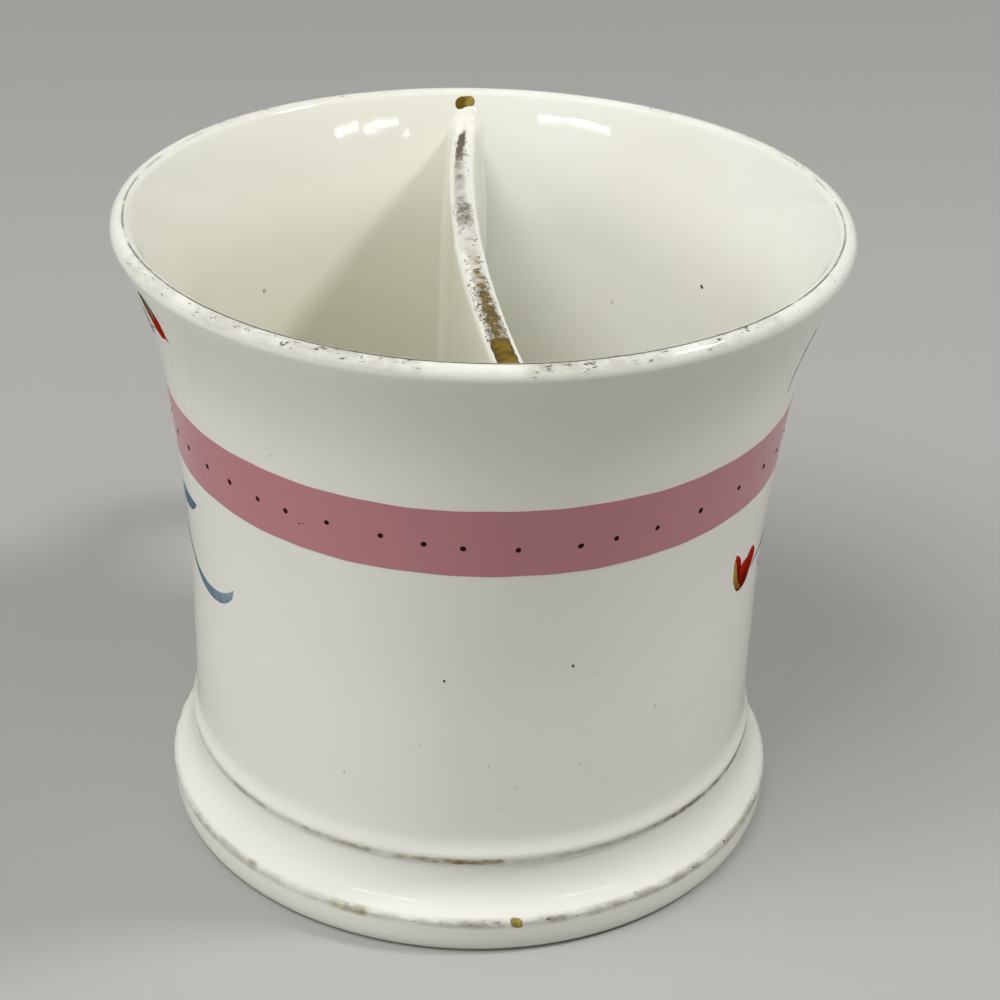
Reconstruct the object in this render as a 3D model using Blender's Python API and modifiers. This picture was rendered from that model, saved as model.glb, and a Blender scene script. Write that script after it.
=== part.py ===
import math

import bmesh
import bpy
from mathutils import Vector
from mathutils.geometry import interpolate_bezier

# A glazed porcelain shaving mug with two compartments. Metres, +Z up, the mug stands on z = 0,
# its handle towards +Y. The origin is under the middle of the whole footprint.

# Turned body: heights from the table, drops from the top of the lip, proud sizes from the waist
MUG_HEIGHT = 0.0882
WAIST_RADIUS = 0.0395
WAIST_HEIGHT = 0.0340
SHOULDER_DROP = 0.0177
SHOULDER_PROUD = 0.0030
SHOULDER_SLOPE = 0.15
LIP_PROUD = 0.0085
LIP_ROLL_RADIUS = 0.0014
FLARE_SLOPE = 0.45
WALL_THICKNESS = 0.0033
FLOOR_HEIGHT = 0.0095
FLOOR_CORNER_RADIUS = 0.0050

# Stepped foot
RIDGE_HEIGHT = 0.0131
RIDGE_PROUD = 0.0007
RIDGE_FACE_HEIGHT = 0.0016
RIDGE_FILLET_HEIGHT = 0.0030
RIDGE_FILLET_SLOPE = 0.55
RIDGE_UNDERCUT = 0.0003
FOOT_PROUD = 0.0038
FOOT_EDGE_HEIGHT = 0.0043
FOOT_FACE_HEIGHT = 0.0018
FOOT_FLARE_ANGLE = math.radians(38)
FOOT_UNDER_INSET = 0.0016
FOOT_RING_WIDTH = 0.0055
UNDERSIDE_RECESS = 0.0025
UNDERSIDE_DRAFT = 0.0015

# Applied colour: an enamel band and four lines of gilding, let in flush with the glaze
BAND_DROP = 0.0217
BAND_WIDTH = 0.0096
LAYER_THICKNESS = 0.0003
FIT_GAP = 0.0003
RIM_LINE_WIDTH = 0.0015
RIM_LINE_LEAN = math.radians(12)
RIDGE_LINE_WIDTH = 0.0012
FOOT_LINE_WIDTH = 0.0014
CREST_LINE_WIDTH = 0.0024

# Divider wall, bowed a little in plan
DIVIDER_THICKNESS = 0.0038
DIVIDER_DROP = 0.0045
DIVIDER_BOW = 0.0035
DIVIDER_TURN = math.radians(5.25)
DIVIDER_MIDDLE_X = 0.0012

# Ear handle
HANDLE_TOP_DROP = 0.0150
HANDLE_LOW_HEIGHT = 0.0250
HANDLE_BEND_HEIGHT = 0.0560
FINGER_GAP = 0.0230
HANDLE_WIDTH = 0.0105
HANDLE_DEPTH = 0.0075
HANDLE_TOP_WIDTH = 0.0130
HANDLE_LOW_WIDTH = 0.0120
HANDLE_ROOT = 0.0020
HANDLE_TOP_SLOPE = 0.25

# How far the handles of the curves reach, as shares of the span that they shape
COVE_HOLD = 0.5
CORNER_HOLD = 2 / 3
HANDLE_TOP_HOLD = 0.7
HANDLE_RISE_HOLD = 0.75
HANDLE_FALL_HOLD = 0.55
HANDLE_LOW_HOLD = 0.55

# Facets
TURN_STEPS = 48
SPAN_STEPS = 6
SHORT_STEPS = 2
ROUND_STEPS = 8
DIVIDER_STEPS = 14
HANDLE_STEPS = 12
HANDLE_SIDES = 16
MERGE_DISTANCE = 0.00001
SHARP_ANGLE = math.radians(40)

# Finishes: colour, roughness, metallic
PORCELAIN_GLAZE = ((0.80, 0.79, 0.73), 0.12, 0.0)
PINK_ENAMEL = ((0.50, 0.21, 0.25), 0.25, 0.0)
WORN_GILDING = ((0.42, 0.28, 0.09), 0.4, 0.8)

# Stations of the wall, each a height, a radius and the outward run per unit of height there
lip_radius = WAIST_RADIUS + LIP_PROUD
lip_centre = (lip_radius - LIP_ROLL_RADIUS, MUG_HEIGHT - LIP_ROLL_RADIUS)
lip_turn = math.atan(FLARE_SLOPE)
roll_run = LIP_ROLL_RADIUS * math.cos(lip_turn)
roll_rise = LIP_ROLL_RADIUS * math.sin(lip_turn)
shoulder_height = MUG_HEIGHT - SHOULDER_DROP
shoulder_radius = WAIST_RADIUS + SHOULDER_PROUD
ridge_radius = WAIST_RADIUS + RIDGE_PROUD
ridge_top = RIDGE_HEIGHT + RIDGE_FACE_HEIGHT / 2
ridge_low = RIDGE_HEIGHT - RIDGE_FACE_HEIGHT / 2
foot_top = FOOT_EDGE_HEIGHT + FOOT_FACE_HEIGHT / 2
foot_low = FOOT_EDGE_HEIGHT - FOOT_FACE_HEIGHT / 2
wall_foot = ridge_top + RIDGE_FILLET_HEIGHT
foot_radius = WAIST_RADIUS + FOOT_PROUD
band_top = MUG_HEIGHT - BAND_DROP
band_low = band_top - BAND_WIDTH
inner_waist_radius = WAIST_RADIUS - WALL_THICKNESS

# Grooves for the gilding, as angles on the round lip and on the round crest of the divider
groove_depth = LAYER_THICKNESS + FIT_GAP
rim_line_start = math.pi / 2 + RIM_LINE_LEAN + RIM_LINE_WIDTH / LIP_ROLL_RADIUS / 2
rim_line_end = rim_line_start - RIM_LINE_WIDTH / LIP_ROLL_RADIUS
crest_radius = DIVIDER_THICKNESS / 2
crest_centre = (0.0, MUG_HEIGHT - DIVIDER_DROP - crest_radius)
crest_line_start = math.pi / 2 + CREST_LINE_WIDTH / crest_radius / 2
crest_line_end = math.pi - crest_line_start

OUTER_STATIONS = [
    (ridge_top, ridge_radius, -RIDGE_FILLET_SLOPE),
    (wall_foot, WAIST_RADIUS, 0.0),
    (WAIST_HEIGHT, WAIST_RADIUS, 0.0),
    (shoulder_height, shoulder_radius, SHOULDER_SLOPE),
    (lip_centre[1] - roll_rise, lip_centre[0] + roll_run, FLARE_SLOPE),
]
INNER_STATIONS = [
    (FLOOR_HEIGHT + FLOOR_CORNER_RADIUS, inner_waist_radius, 0.0),
    (WAIST_HEIGHT, inner_waist_radius, 0.0),
    (shoulder_height, shoulder_radius - WALL_THICKNESS, SHOULDER_SLOPE),
    (lip_centre[1] + roll_rise, lip_centre[0] - roll_run, FLARE_SLOPE),
]


# Profiles

def radius_at(stations, height):
    for low, high in zip(stations, stations[1:]):
        if height <= high[0]:
            break
    reach = high[0] - low[0]
    t = (height - low[0]) / reach
    hold = 2 * t**3 - 3 * t**2 + 1
    leave = (t**3 - 2 * t**2 + t) * reach
    arrive = (t**3 - t**2) * reach
    return low[1] * hold + high[1] * (1 - hold) + low[2] * leave + high[2] * arrive


def wall_run(stations, start, end, steps):
    heights = [start + (end - start) * i / steps for i in range(steps + 1)]
    return [(radius_at(stations, z), z) for z in heights]


def arc_run(centre, radius, start, end, steps):
    angles = [start + (end - start) * i / steps for i in range(steps + 1)]
    return [(centre[0] + radius * math.cos(a), centre[1] + radius * math.sin(a)) for a in angles]


def bezier_run(start, start_hold, end_hold, end, steps):
    knots = [Vector((r, z, 0.0)) for r, z in (start, start_hold, end_hold, end)]
    return [(p.x, p.y) for p in interpolate_bezier(*knots, steps + 1)]


def lengths_along(run):
    total = [0.0]
    for a, b in zip(run, run[1:]):
        total.append(total[-1] + math.dist(a, b))
    return total


def trimmed(run, cut):
    # The same run, shorter by cut at both ends.
    along = lengths_along(run)

    def point_at(s):
        for i in range(len(run) - 1):
            if s <= along[i + 1]:
                break
        t = (s - along[i]) / (along[i + 1] - along[i])
        return tuple(a + (b - a) * t for a, b in zip(run[i], run[i + 1]))

    first, last = cut, along[-1] - cut
    kept = [p for p, s in zip(run, along) if first < s < last]
    return [point_at(first)] + kept + [point_at(last)]


def offset(run, distance):
    # Moves a run sideways: positive is to its left as it is walked, which is out of the mug.
    moved = []
    for i, (r, z) in enumerate(run):
        before, after = run[max(i - 1, 0)], run[min(i + 1, len(run) - 1)]
        along = Vector((after[0] - before[0], after[1] - before[1])).normalized()
        moved.append((r - along.y * distance, z + along.x * distance))
    return moved


def grooved(run):
    # A run with a shallow square groove along it.
    return [run[0]] + offset(run, -groove_depth) + [run[-1]]


def layer_section(run):
    # The closed outline of the layer that lies flush in that groove.
    face = trimmed(run, FIT_GAP)
    return face + offset(face, -LAYER_THICKNESS)[::-1]


# Runs of the outer side, walked from the lip down to the foot

def rim_line_run():
    return arc_run(lip_centre, LIP_ROLL_RADIUS, rim_line_start, rim_line_end, ROUND_STEPS // 2)


def band_run():
    return wall_run(OUTER_STATIONS, band_top, band_low, SPAN_STEPS // 2)


def upright_run(radius, middle, width):
    return [(radius, middle + width / 2), (radius, middle - width / 2)]


def ridge_line_run():
    return upright_run(ridge_radius, RIDGE_HEIGHT, RIDGE_LINE_WIDTH)


def foot_line_run():
    return upright_run(foot_radius, FOOT_EDGE_HEIGHT, FOOT_LINE_WIDTH)


def inner_side():
    corner_centre = (inner_waist_radius - FLOOR_CORNER_RADIUS, FLOOR_HEIGHT + FLOOR_CORNER_RADIUS)
    corner = arc_run(corner_centre, FLOOR_CORNER_RADIUS, -math.pi / 2, 0, ROUND_STEPS // 2)
    straight = wall_run(INNER_STATIONS, WAIST_HEIGHT, shoulder_height, SPAN_STEPS)
    flare = wall_run(INNER_STATIONS, shoulder_height, INNER_STATIONS[-1][0], SPAN_STEPS)
    return corner + straight + flare[1:]


def lip_over():
    inner = arc_run(lip_centre, LIP_ROLL_RADIUS, math.pi - lip_turn, rim_line_start, ROUND_STEPS // 2)
    outer = arc_run(lip_centre, LIP_ROLL_RADIUS, rim_line_end, -lip_turn, ROUND_STEPS)
    return inner[1:-1] + grooved(rim_line_run()) + outer[1:-1]


def outer_side(groove):
    flare = wall_run(OUTER_STATIONS, OUTER_STATIONS[-1][0], shoulder_height, SPAN_STEPS)
    shoulder = wall_run(OUTER_STATIONS, shoulder_height, band_top, SHORT_STEPS)
    below_band = wall_run(OUTER_STATIONS, band_low, WAIST_HEIGHT, SPAN_STEPS // 2)
    fillet = wall_run(OUTER_STATIONS, wall_foot, ridge_top, ROUND_STEPS // 2)
    wall = flare + shoulder[1:-1] + groove(band_run()) + below_band[1:] + fillet
    cove_radius = ridge_radius - RIDGE_UNDERCUT
    hold = (foot_radius - cove_radius) * CORNER_HOLD
    cove = bezier_run(
        (cove_radius, ridge_low),
        (cove_radius, ridge_low - (ridge_low - foot_top) * COVE_HOLD),
        (foot_radius - hold, foot_top + hold * math.tan(FOOT_FLARE_ANGLE)),
        (foot_radius, foot_top),
        ROUND_STEPS,
    )
    under = bezier_run(
        (foot_radius, foot_low),
        (foot_radius, foot_low * (1 - CORNER_HOLD)),
        (foot_radius - FOOT_UNDER_INSET * (1 - CORNER_HOLD), 0.0),
        (foot_radius - FOOT_UNDER_INSET, 0.0),
        ROUND_STEPS // 2,
    )
    ridge = groove(ridge_line_run()) + [(ridge_radius, ridge_low)]
    return wall + ridge + cove + groove(foot_line_run()) + under


def underside():
    ring_inner = foot_radius - FOOT_UNDER_INSET - FOOT_RING_WIDTH
    return [
        (ring_inner, 0.0),
        (ring_inner - UNDERSIDE_DRAFT, UNDERSIDE_RECESS),
        (0.0, UNDERSIDE_RECESS),
    ]


def plain(run):
    return run


# Blender objects

def clear_scene():
    for old in list(bpy.data.objects):
        bpy.data.objects.remove(old, do_unlink=True)


def new_collection(name):
    collection = bpy.data.collections.new(name)
    bpy.context.scene.collection.children.link(collection)
    return collection


def finish(name, colour, roughness, metallic):
    material = bpy.data.materials.new(name)
    material.use_nodes = True
    shader = material.node_tree.nodes["Principled BSDF"]
    shader.inputs["Base Color"].default_value = (*colour, 1.0)
    shader.inputs["Roughness"].default_value = roughness
    shader.inputs["Metallic"].default_value = metallic
    material.diffuse_color = (*colour, 1.0)
    return material


def as_helper(obj):
    obj.hide_render = True
    obj.display_type = "WIRE"
    return obj


def place(obj, collection, parent):
    collection.objects.link(obj)
    obj.parent = parent
    return obj


def turned(name, section, closed, collection, parent):
    # Spins a section in the XZ plane about the Z axis.
    count = len(section)
    edges = [(i, i + 1) for i in range(count - 1)]
    if closed:
        edges.append((count - 1, 0))
    mesh = bpy.data.meshes.new(name)
    mesh.from_pydata([(r, 0.0, z) for r, z in section], edges, [])
    obj = place(bpy.data.objects.new(name, mesh), collection, parent)
    screw = obj.modifiers.new("Turn", "SCREW")
    screw.axis = "Z"
    screw.steps = TURN_STEPS
    screw.render_steps = TURN_STEPS
    screw.use_merge_vertices = True
    screw.merge_threshold = MERGE_DISTANCE
    screw.use_smooth_shade = True
    return obj


def outline_curve(name, points, collection, parent):
    # A closed flat outline, used as the section that is swept along a path.
    curve = bpy.data.curves.new(name, "CURVE")
    curve.dimensions = "2D"
    spline = curve.splines.new("POLY")
    spline.points.add(len(points) - 1)
    for point, (x, y) in zip(spline.points, points):
        point.co = (x, y, 0.0, 1.0)
    spline.use_cyclic_u = True
    return as_helper(place(bpy.data.objects.new(name, curve), collection, parent))


def swept_mesh(name, path, section, collection, parent):
    # Sweeps a section along a path and keeps the result as a closed mesh.
    path.data.bevel_mode = "OBJECT"
    path.data.bevel_object = section
    path.data.use_fill_caps = True
    bpy.context.view_layer.update()
    graph = bpy.context.evaluated_depsgraph_get()
    mesh = bpy.data.meshes.new_from_object(path.evaluated_get(graph))
    mesh.name = name
    weld_caps(mesh)
    obj = place(bpy.data.objects.new(name, mesh), collection, parent)
    bpy.data.objects.remove(path, do_unlink=True)
    return obj


def weld_caps(mesh):
    work = bmesh.new()
    work.from_mesh(mesh)
    bmesh.ops.remove_doubles(work, verts=work.verts, dist=MERGE_DISTANCE)
    bmesh.ops.recalc_face_normals(work, faces=work.faces)
    work.to_mesh(mesh)
    work.free()
    mesh.shade_smooth()
    mesh.set_sharp_from_angle(angle=SHARP_ANGLE)


def cut(obj, tool, operation):
    boolean = obj.modifiers.new(operation.title(), "BOOLEAN")
    boolean.operation = operation
    boolean.object = tool
    boolean.solver = "EXACT"


def coat(obj, material):
    obj.data.materials.clear()
    obj.data.materials.append(material)
    return obj


# Sub-parts

def make_cup_body(parts, mug, porcelain):
    section = [(0.0, FLOOR_HEIGHT)] + inner_side() + lip_over() + outer_side(grooved) + underside()
    return coat(turned("cup_body", section, False, parts, mug), porcelain)


def make_layer(name, run, parts, mug, material):
    return coat(turned(name, layer_section(run), True, parts, mug), material)


def divider_path(name, collection, mug):
    # An arc in plan through both sides of the mug, level with the table.
    chord = lip_radius
    arc_radius = (chord**2 + DIVIDER_BOW**2) / (2 * DIVIDER_BOW)
    half_angle = math.asin(chord / arc_radius)
    curve = bpy.data.curves.new(name, "CURVE")
    curve.dimensions = "2D"
    spline = curve.splines.new("POLY")
    spline.points.add(DIVIDER_STEPS)
    for i, point in enumerate(spline.points):
        angle = half_angle * (2 * i / DIVIDER_STEPS - 1)
        across = arc_radius * (math.cos(half_angle) - math.cos(angle))
        along = arc_radius * math.sin(angle)
        x = DIVIDER_MIDDLE_X + across * math.cos(DIVIDER_TURN) - along * math.sin(DIVIDER_TURN)
        y = across * math.sin(DIVIDER_TURN) + along * math.cos(DIVIDER_TURN)
        point.co = (x, y, 0.0, 1.0)
    return place(bpy.data.objects.new(name, curve), collection, mug)


def crest_run():
    # Round top of the divider between the edges of its gilding, walked left to right.
    return arc_run(crest_centre, crest_radius, crest_line_start, crest_line_end, ROUND_STEPS // 2)


def divider_section():
    left = arc_run(crest_centre, crest_radius, math.pi, crest_line_start, SHORT_STEPS)
    right = arc_run(crest_centre, crest_radius, crest_line_end, 0, SHORT_STEPS)
    base = [(crest_radius, 0.0), (-crest_radius, 0.0)]
    return left[:-1] + grooved(crest_run()) + right[1:] + base


def make_divider(parts, helpers, mug, cavity, porcelain):
    section = outline_curve("divider_section", divider_section(), helpers, mug)
    path = divider_path("divider_path", helpers, mug)
    divider = swept_mesh("divider_wall", path, section, parts, mug)
    cut(divider, cavity, "INTERSECT")
    return coat(divider, porcelain)


def make_crest_gilding(parts, helpers, mug, cavity, gold):
    section = outline_curve("crest_section", layer_section(crest_run()), helpers, mug)
    path = divider_path("crest_path", helpers, mug)
    strip = swept_mesh("crest_gilding", path, section, parts, mug)
    cut(strip, cavity, "INTERSECT")
    return coat(strip, gold)


def make_cavity(helpers, mug):
    # The inside of the mug, short of its wall and floor by the fit gap.
    side = offset(inner_side(), FIT_GAP)
    floor = FLOOR_HEIGHT + FIT_GAP
    section = [(0.0, MUG_HEIGHT), (side[-1][0], MUG_HEIGHT)] + side[::-1] + [(0.0, floor)]
    return as_helper(turned("cavity_core", section, False, helpers, mug))


def make_mug_core(helpers, mug):
    # The outside of the mug, proud of its wall by the fit gap.
    side = offset(outer_side(plain), FIT_GAP)
    section = [(0.0, side[0][1])] + side + [(0.0, side[-1][1])]
    return as_helper(turned("mug_core", section, False, helpers, mug))


def handle_reach():
    # From the mug's axis to the outermost point of the handle.
    return WAIST_RADIUS + FINGER_GAP + HANDLE_DEPTH


def handle_path(name, collection, mug):
    top_height = MUG_HEIGHT - HANDLE_TOP_DROP
    top = Vector((0.0, radius_at(OUTER_STATIONS, top_height) - HANDLE_ROOT, top_height))
    low = Vector((0.0, WAIST_RADIUS - HANDLE_ROOT, HANDLE_LOW_HEIGHT))
    bend = Vector((0.0, handle_reach() - HANDLE_DEPTH / 2, HANDLE_BEND_HEIGHT))
    top_hold = Vector((0.0, 1.0, HANDLE_TOP_SLOPE)) * (bend.y - top.y) * HANDLE_TOP_HOLD
    rise = Vector((0.0, 0.0, top.z - bend.z)) * HANDLE_RISE_HOLD
    fall = Vector((0.0, 0.0, bend.z - low.z)) * HANDLE_FALL_HOLD
    low_hold = Vector((0.0, bend.y - low.y, 0.0)) * HANDLE_LOW_HOLD
    curve = bpy.data.curves.new(name, "CURVE")
    curve.dimensions = "3D"
    curve.twist_mode = "MINIMUM"
    curve.resolution_u = HANDLE_STEPS
    spline = curve.splines.new("BEZIER")
    knots = [
        (top, top - top_hold, top + top_hold, HANDLE_TOP_WIDTH),
        (bend, bend + rise, bend - fall, HANDLE_WIDTH),
        (low, low + low_hold, low - low_hold, HANDLE_LOW_WIDTH),
    ]
    spline.bezier_points.add(len(knots) - 1)
    for point, (centre, arrive, leave, width) in zip(spline.bezier_points, knots):
        point.handle_left_type = "FREE"
        point.handle_right_type = "FREE"
        point.co = centre
        point.handle_left = arrive
        point.handle_right = leave
        point.radius = width / HANDLE_WIDTH
    return place(bpy.data.objects.new(name, curve), collection, mug)


def make_handle(parts, helpers, mug, core, porcelain):
    turns = [2 * math.pi * i / HANDLE_SIDES for i in range(HANDLE_SIDES)]
    oval = [(HANDLE_WIDTH / 2 * math.cos(a), HANDLE_DEPTH / 2 * math.sin(a)) for a in turns]
    section = outline_curve("handle_section", oval, helpers, mug)
    path = handle_path("handle_path", helpers, mug)
    handle = swept_mesh("handle", path, section, parts, mug)
    cut(handle, core, "DIFFERENCE")
    return coat(handle, porcelain)


def build():
    clear_scene()
    parts = new_collection("shaving_mug")
    helpers = new_collection("shaving_mug_helpers")
    mug = bpy.data.objects.new("mug_axis", None)
    mug.location = (0.0, (lip_radius - handle_reach()) / 2, 0.0)
    parts.objects.link(mug)

    porcelain = finish("porcelain_glaze", *PORCELAIN_GLAZE)
    pink = finish("pink_enamel", *PINK_ENAMEL)
    gold = finish("worn_gilding", *WORN_GILDING)

    make_cup_body(parts, mug, porcelain)
    cavity = make_cavity(helpers, mug)
    core = make_mug_core(helpers, mug)
    make_divider(parts, helpers, mug, cavity, porcelain)
    make_handle(parts, helpers, mug, core, porcelain)
    make_layer("pink_band", band_run(), parts, mug, pink)
    make_layer("rim_gilding", rim_line_run(), parts, mug, gold)
    make_layer("ridge_gilding", ridge_line_run(), parts, mug, gold)
    make_layer("foot_gilding", foot_line_run(), parts, mug, gold)
    make_crest_gilding(parts, helpers, mug, cavity, gold)


build()
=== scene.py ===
import math
import random

import bpy
from mathutils import Matrix, Vector


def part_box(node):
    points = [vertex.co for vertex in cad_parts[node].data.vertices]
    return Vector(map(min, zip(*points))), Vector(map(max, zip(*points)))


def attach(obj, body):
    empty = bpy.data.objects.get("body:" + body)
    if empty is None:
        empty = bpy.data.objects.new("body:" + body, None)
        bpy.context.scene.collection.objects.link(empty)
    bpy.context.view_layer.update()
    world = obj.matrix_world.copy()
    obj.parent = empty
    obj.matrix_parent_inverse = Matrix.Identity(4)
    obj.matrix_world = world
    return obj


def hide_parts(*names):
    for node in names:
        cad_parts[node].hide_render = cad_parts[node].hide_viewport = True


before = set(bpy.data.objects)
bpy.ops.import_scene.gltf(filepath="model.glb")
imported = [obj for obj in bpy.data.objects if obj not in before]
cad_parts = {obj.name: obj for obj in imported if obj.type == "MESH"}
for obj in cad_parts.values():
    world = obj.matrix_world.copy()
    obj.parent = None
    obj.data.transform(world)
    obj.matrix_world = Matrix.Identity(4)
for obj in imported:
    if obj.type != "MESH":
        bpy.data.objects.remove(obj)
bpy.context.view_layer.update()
scene = bpy.context.scene
scene.view_settings.view_transform = "Standard"
mm = 0.001

# the handle pulls the frame's origin off the mug's own axis
cupLow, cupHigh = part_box("cup_body")
axisX = (cupLow.x + cupHigh.x) / 2
axisY = (cupLow.y + cupHigh.y) / 2
lipRadius = (cupHigh.x - cupLow.x) / 2
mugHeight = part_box("rim_gilding")[1].z
print("frame:", len(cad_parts), "nodes, lip", round(lipRadius / mm, 1), "mm in radius")


# shader maths

class Wire:
    # one socket: sums on it add Math nodes, and node() adds any other
    def __init__(self, tree, socket=None):
        self.tree = tree
        self.socket = socket

    def node(self, kind, settings=None, give=None, take=0):
        made = self.tree.nodes.new("ShaderNode" + kind)
        for key, value in (settings or {}).items():
            setattr(made, key, value)
        for key, value in (give or {}).items():
            if isinstance(value, Wire):
                self.tree.links.new(value.socket, made.inputs[key])
            else:
                made.inputs[key].default_value = value
        return Wire(self.tree, made.outputs[take])

    def sum(self, operation, *values):
        return self.node("Math", {"operation": operation}, dict(enumerate(values)))

    def __add__(self, other):
        return self.sum("ADD", self, other)

    def __radd__(self, other):
        return self.sum("ADD", other, self)

    def __sub__(self, other):
        return self.sum("SUBTRACT", self, other)

    def __rsub__(self, other):
        return self.sum("SUBTRACT", other, self)

    def __mul__(self, other):
        return self.sum("MULTIPLY", self, other)

    def __rmul__(self, other):
        return self.sum("MULTIPLY", other, self)

    def __truediv__(self, other):
        return self.sum("DIVIDE", self, other)

    def __rtruediv__(self, other):
        return self.sum("DIVIDE", other, self)

    def __abs__(self):
        return self.sum("ABSOLUTE", self)

    def most(self, *others):
        # the largest of several values
        top = self
        for other in others:
            top = self.sum("MAXIMUM", top, other)
        return top

    def centred(self):
        # a noise or a share taken about its middle
        return self - 0.5

    def between(self, low, high):
        # 0 at low, 1 at high, eased
        give = {"Value": self, "From Min": low, "From Max": high}
        return self.node("MapRange", {"interpolation_type": "SMOOTHSTEP"}, give)

    def value(self, name):
        # a number that the mesh carries at its points
        return self.node("Attribute", {"attribute_name": name}, take="Fac")

    def stretched(self, x, y, z):
        return self.node("VectorMath", {"operation": "MULTIPLY"}, {0: self, 1: (x, y, z)})

    def noise(self, scale, detail=2.0, rough=0.5):
        give = {"Vector": self, "Scale": scale, "Detail": detail, "Roughness": rough}
        return self.node("TexNoise", None, give)

    def tint(self, low, high):
        # colour from low to high as this value goes from 0 to 1
        give = {0: self, 6: colour(low), 7: colour(high)}
        return self.node("Mix", {"data_type": "RGBA"}, give, 2)


def colour(value):
    return value if isinstance(value, Wire) else (*value, 1.0)


def newMaterial(name):
    material = bpy.data.materials.new(name)
    material.use_nodes = True
    shader = material.node_tree.nodes["Principled BSDF"]
    return material, shader, Wire(material.node_tree)


def feed(shader, **values):
    # Base_Color=wire or a plain value goes on the shader's own socket
    for key, value in values.items():
        socket = shader.inputs[key.replace("_", " ")]
        if isinstance(value, Wire):
            value.tree.links.new(value.socket, socket)
        elif isinstance(value, tuple):
            socket.default_value = (*value, 1.0)
        else:
            socket.default_value = value


# finishes, whose scales count waves or cells per metre

glazeFinish = {
    "white": (0.79, 0.79, 0.725),
    "creamy": (0.775, 0.77, 0.69),
    "cloudScale": 38.0,
    "cloudDetail": 3.0,
    "creamyReach": (0.35, 0.7),      # of the clouds, from white to cream
    # colour of real soap stain, also painted as shade deep in the shadowed left compartment
    "stainedAndShaded": (0.745, 0.73, 0.60),
    "streakSquash": (1, 1, 4),
    "streakScale": 60.0,
    "stainAndShadeShare": (0.75, 0.5),       # how far the stain and painted shade is even, and how far it comes in streaks
    "bareClay": (0.62, 0.57, 0.48),
    "bareTop": 0.5 * mm,
    "bareRoughness": 0.5,
    "speckColour": (0.18, 0.16, 0.12),
    "speckScale": 95.0,
    "speckShare": 0.12,              # of the cells that hold a speck
    "speckSize": (0.009, 0.018),     # its core and its edge
    "speckDepth": 0.8,
    "roughness": (0.035, 0.075),
    "roughScale": 140.0,
    "roughDetail": 3.0,
    "rippleScale": 55.0,
    "fineRippleScale": 420.0,
    "fineRippleShare": 0.12,
    "rippleDetail": 1.0,
    "rippleStrength": 0.35,
    "coatDepth": 0.22 * mm,
    "ior": 1.5,
}


def porcelainGlaze():
    g = glazeFinish
    material, shader, start = newMaterial("porcelainGlaze")
    place = start.node("TexCoord", take="Object")
    height = place.node("SeparateXYZ", None, {0: place}, 2)
    clouds = place.noise(g["cloudScale"], g["cloudDetail"])
    base = clouds.between(*g["creamyReach"]).tint(g["white"], g["creamy"])
    streaks = place.stretched(*g["streakSquash"]).noise(g["streakScale"])
    even, streaked = g["stainAndShadeShare"]
    # real soap stain and painted shade, partly streaked, carried by the mesh's points
    stainAndShade = start.value("stainAndShade") * (even + streaked * streaks.centred())
    agedAndShaded = stainAndShade.tint(base, g["stainedAndShaded"])
    grid = {"Vector": place, "Scale": g["speckScale"]}
    cells = place.node("TexVoronoi", None, grid)
    pick = place.node("TexVoronoi", None, grid, "Color")
    chance = pick.node("SeparateColor", None, {0: pick})
    few = chance.sum("LESS_THAN", chance, g["speckShare"])
    speck = few * (1 - cells.between(*g["speckSize"]))
    skin = (speck * g["speckDepth"]).tint(agedAndShaded, g["speckColour"])
    bare = 1 - height.between(0.0, g["bareTop"])   # the foot ring stood unglazed in the kiln
    low, high = g["roughness"]
    gloss = low + (high - low) * place.noise(g["roughScale"], g["roughDetail"])
    broad = place.noise(g["rippleScale"], g["rippleDetail"])
    fine = place.noise(g["fineRippleScale"], g["rippleDetail"])
    ripple = broad + g["fineRippleShare"] * fine
    relief = {"Strength": g["rippleStrength"], "Distance": g["coatDepth"], "Height": ripple}
    lumps = start.node("Bump", None, relief)
    feed(shader, Base_Color=bare.tint(skin, g["bareClay"]), Normal=lumps, IOR=g["ior"])
    feed(shader, Roughness=gloss + bare * g["bareRoughness"])
    return material


bandFinish = {
    "pale": (0.47, 0.192, 0.210),
    "full": (0.40, 0.111, 0.136),
    "brushSquash": (0.25, 0.25, 8),  # long flat lines
    "brushScale": 180.0,
    "brushShare": 0.45,
    "mottleScale": 150.0,
    "mottleRough": 0.6,
    "mottleShare": 0.5,
    "detail": 3.0,
    "roughness": 0.2,
    "roughMottle": 0.1,
    "ior": 1.5,
}


def pinkEnamel():
    b = bandFinish
    material, shader, start = newMaterial("pinkEnamel")
    place = start.node("TexCoord", take="Object")
    brushLines = place.stretched(*b["brushSquash"]).noise(b["brushScale"], b["detail"])
    mottle = place.noise(b["mottleScale"], b["detail"], b["mottleRough"])
    lines = start.value("density") + b["brushShare"] * brushLines.centred()
    mix = lines + b["mottleShare"] * mottle.centred()
    feed(shader, Base_Color=mix.between(0.0, 1.0).tint(b["pale"], b["full"]))
    feed(shader, Roughness=b["roughness"] + b["roughMottle"] * mottle, IOR=b["ior"])
    return material


# the numbers at a gilt line's points: the share of solid gilding kept, the veil where it is rubbed thin, how
# many dark flecks there are, how golden it is, or blackened below 0, and mm along and across the line
gildNumbers = ("keep", "veil", "flecks", "gold", "along", "across")

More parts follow.
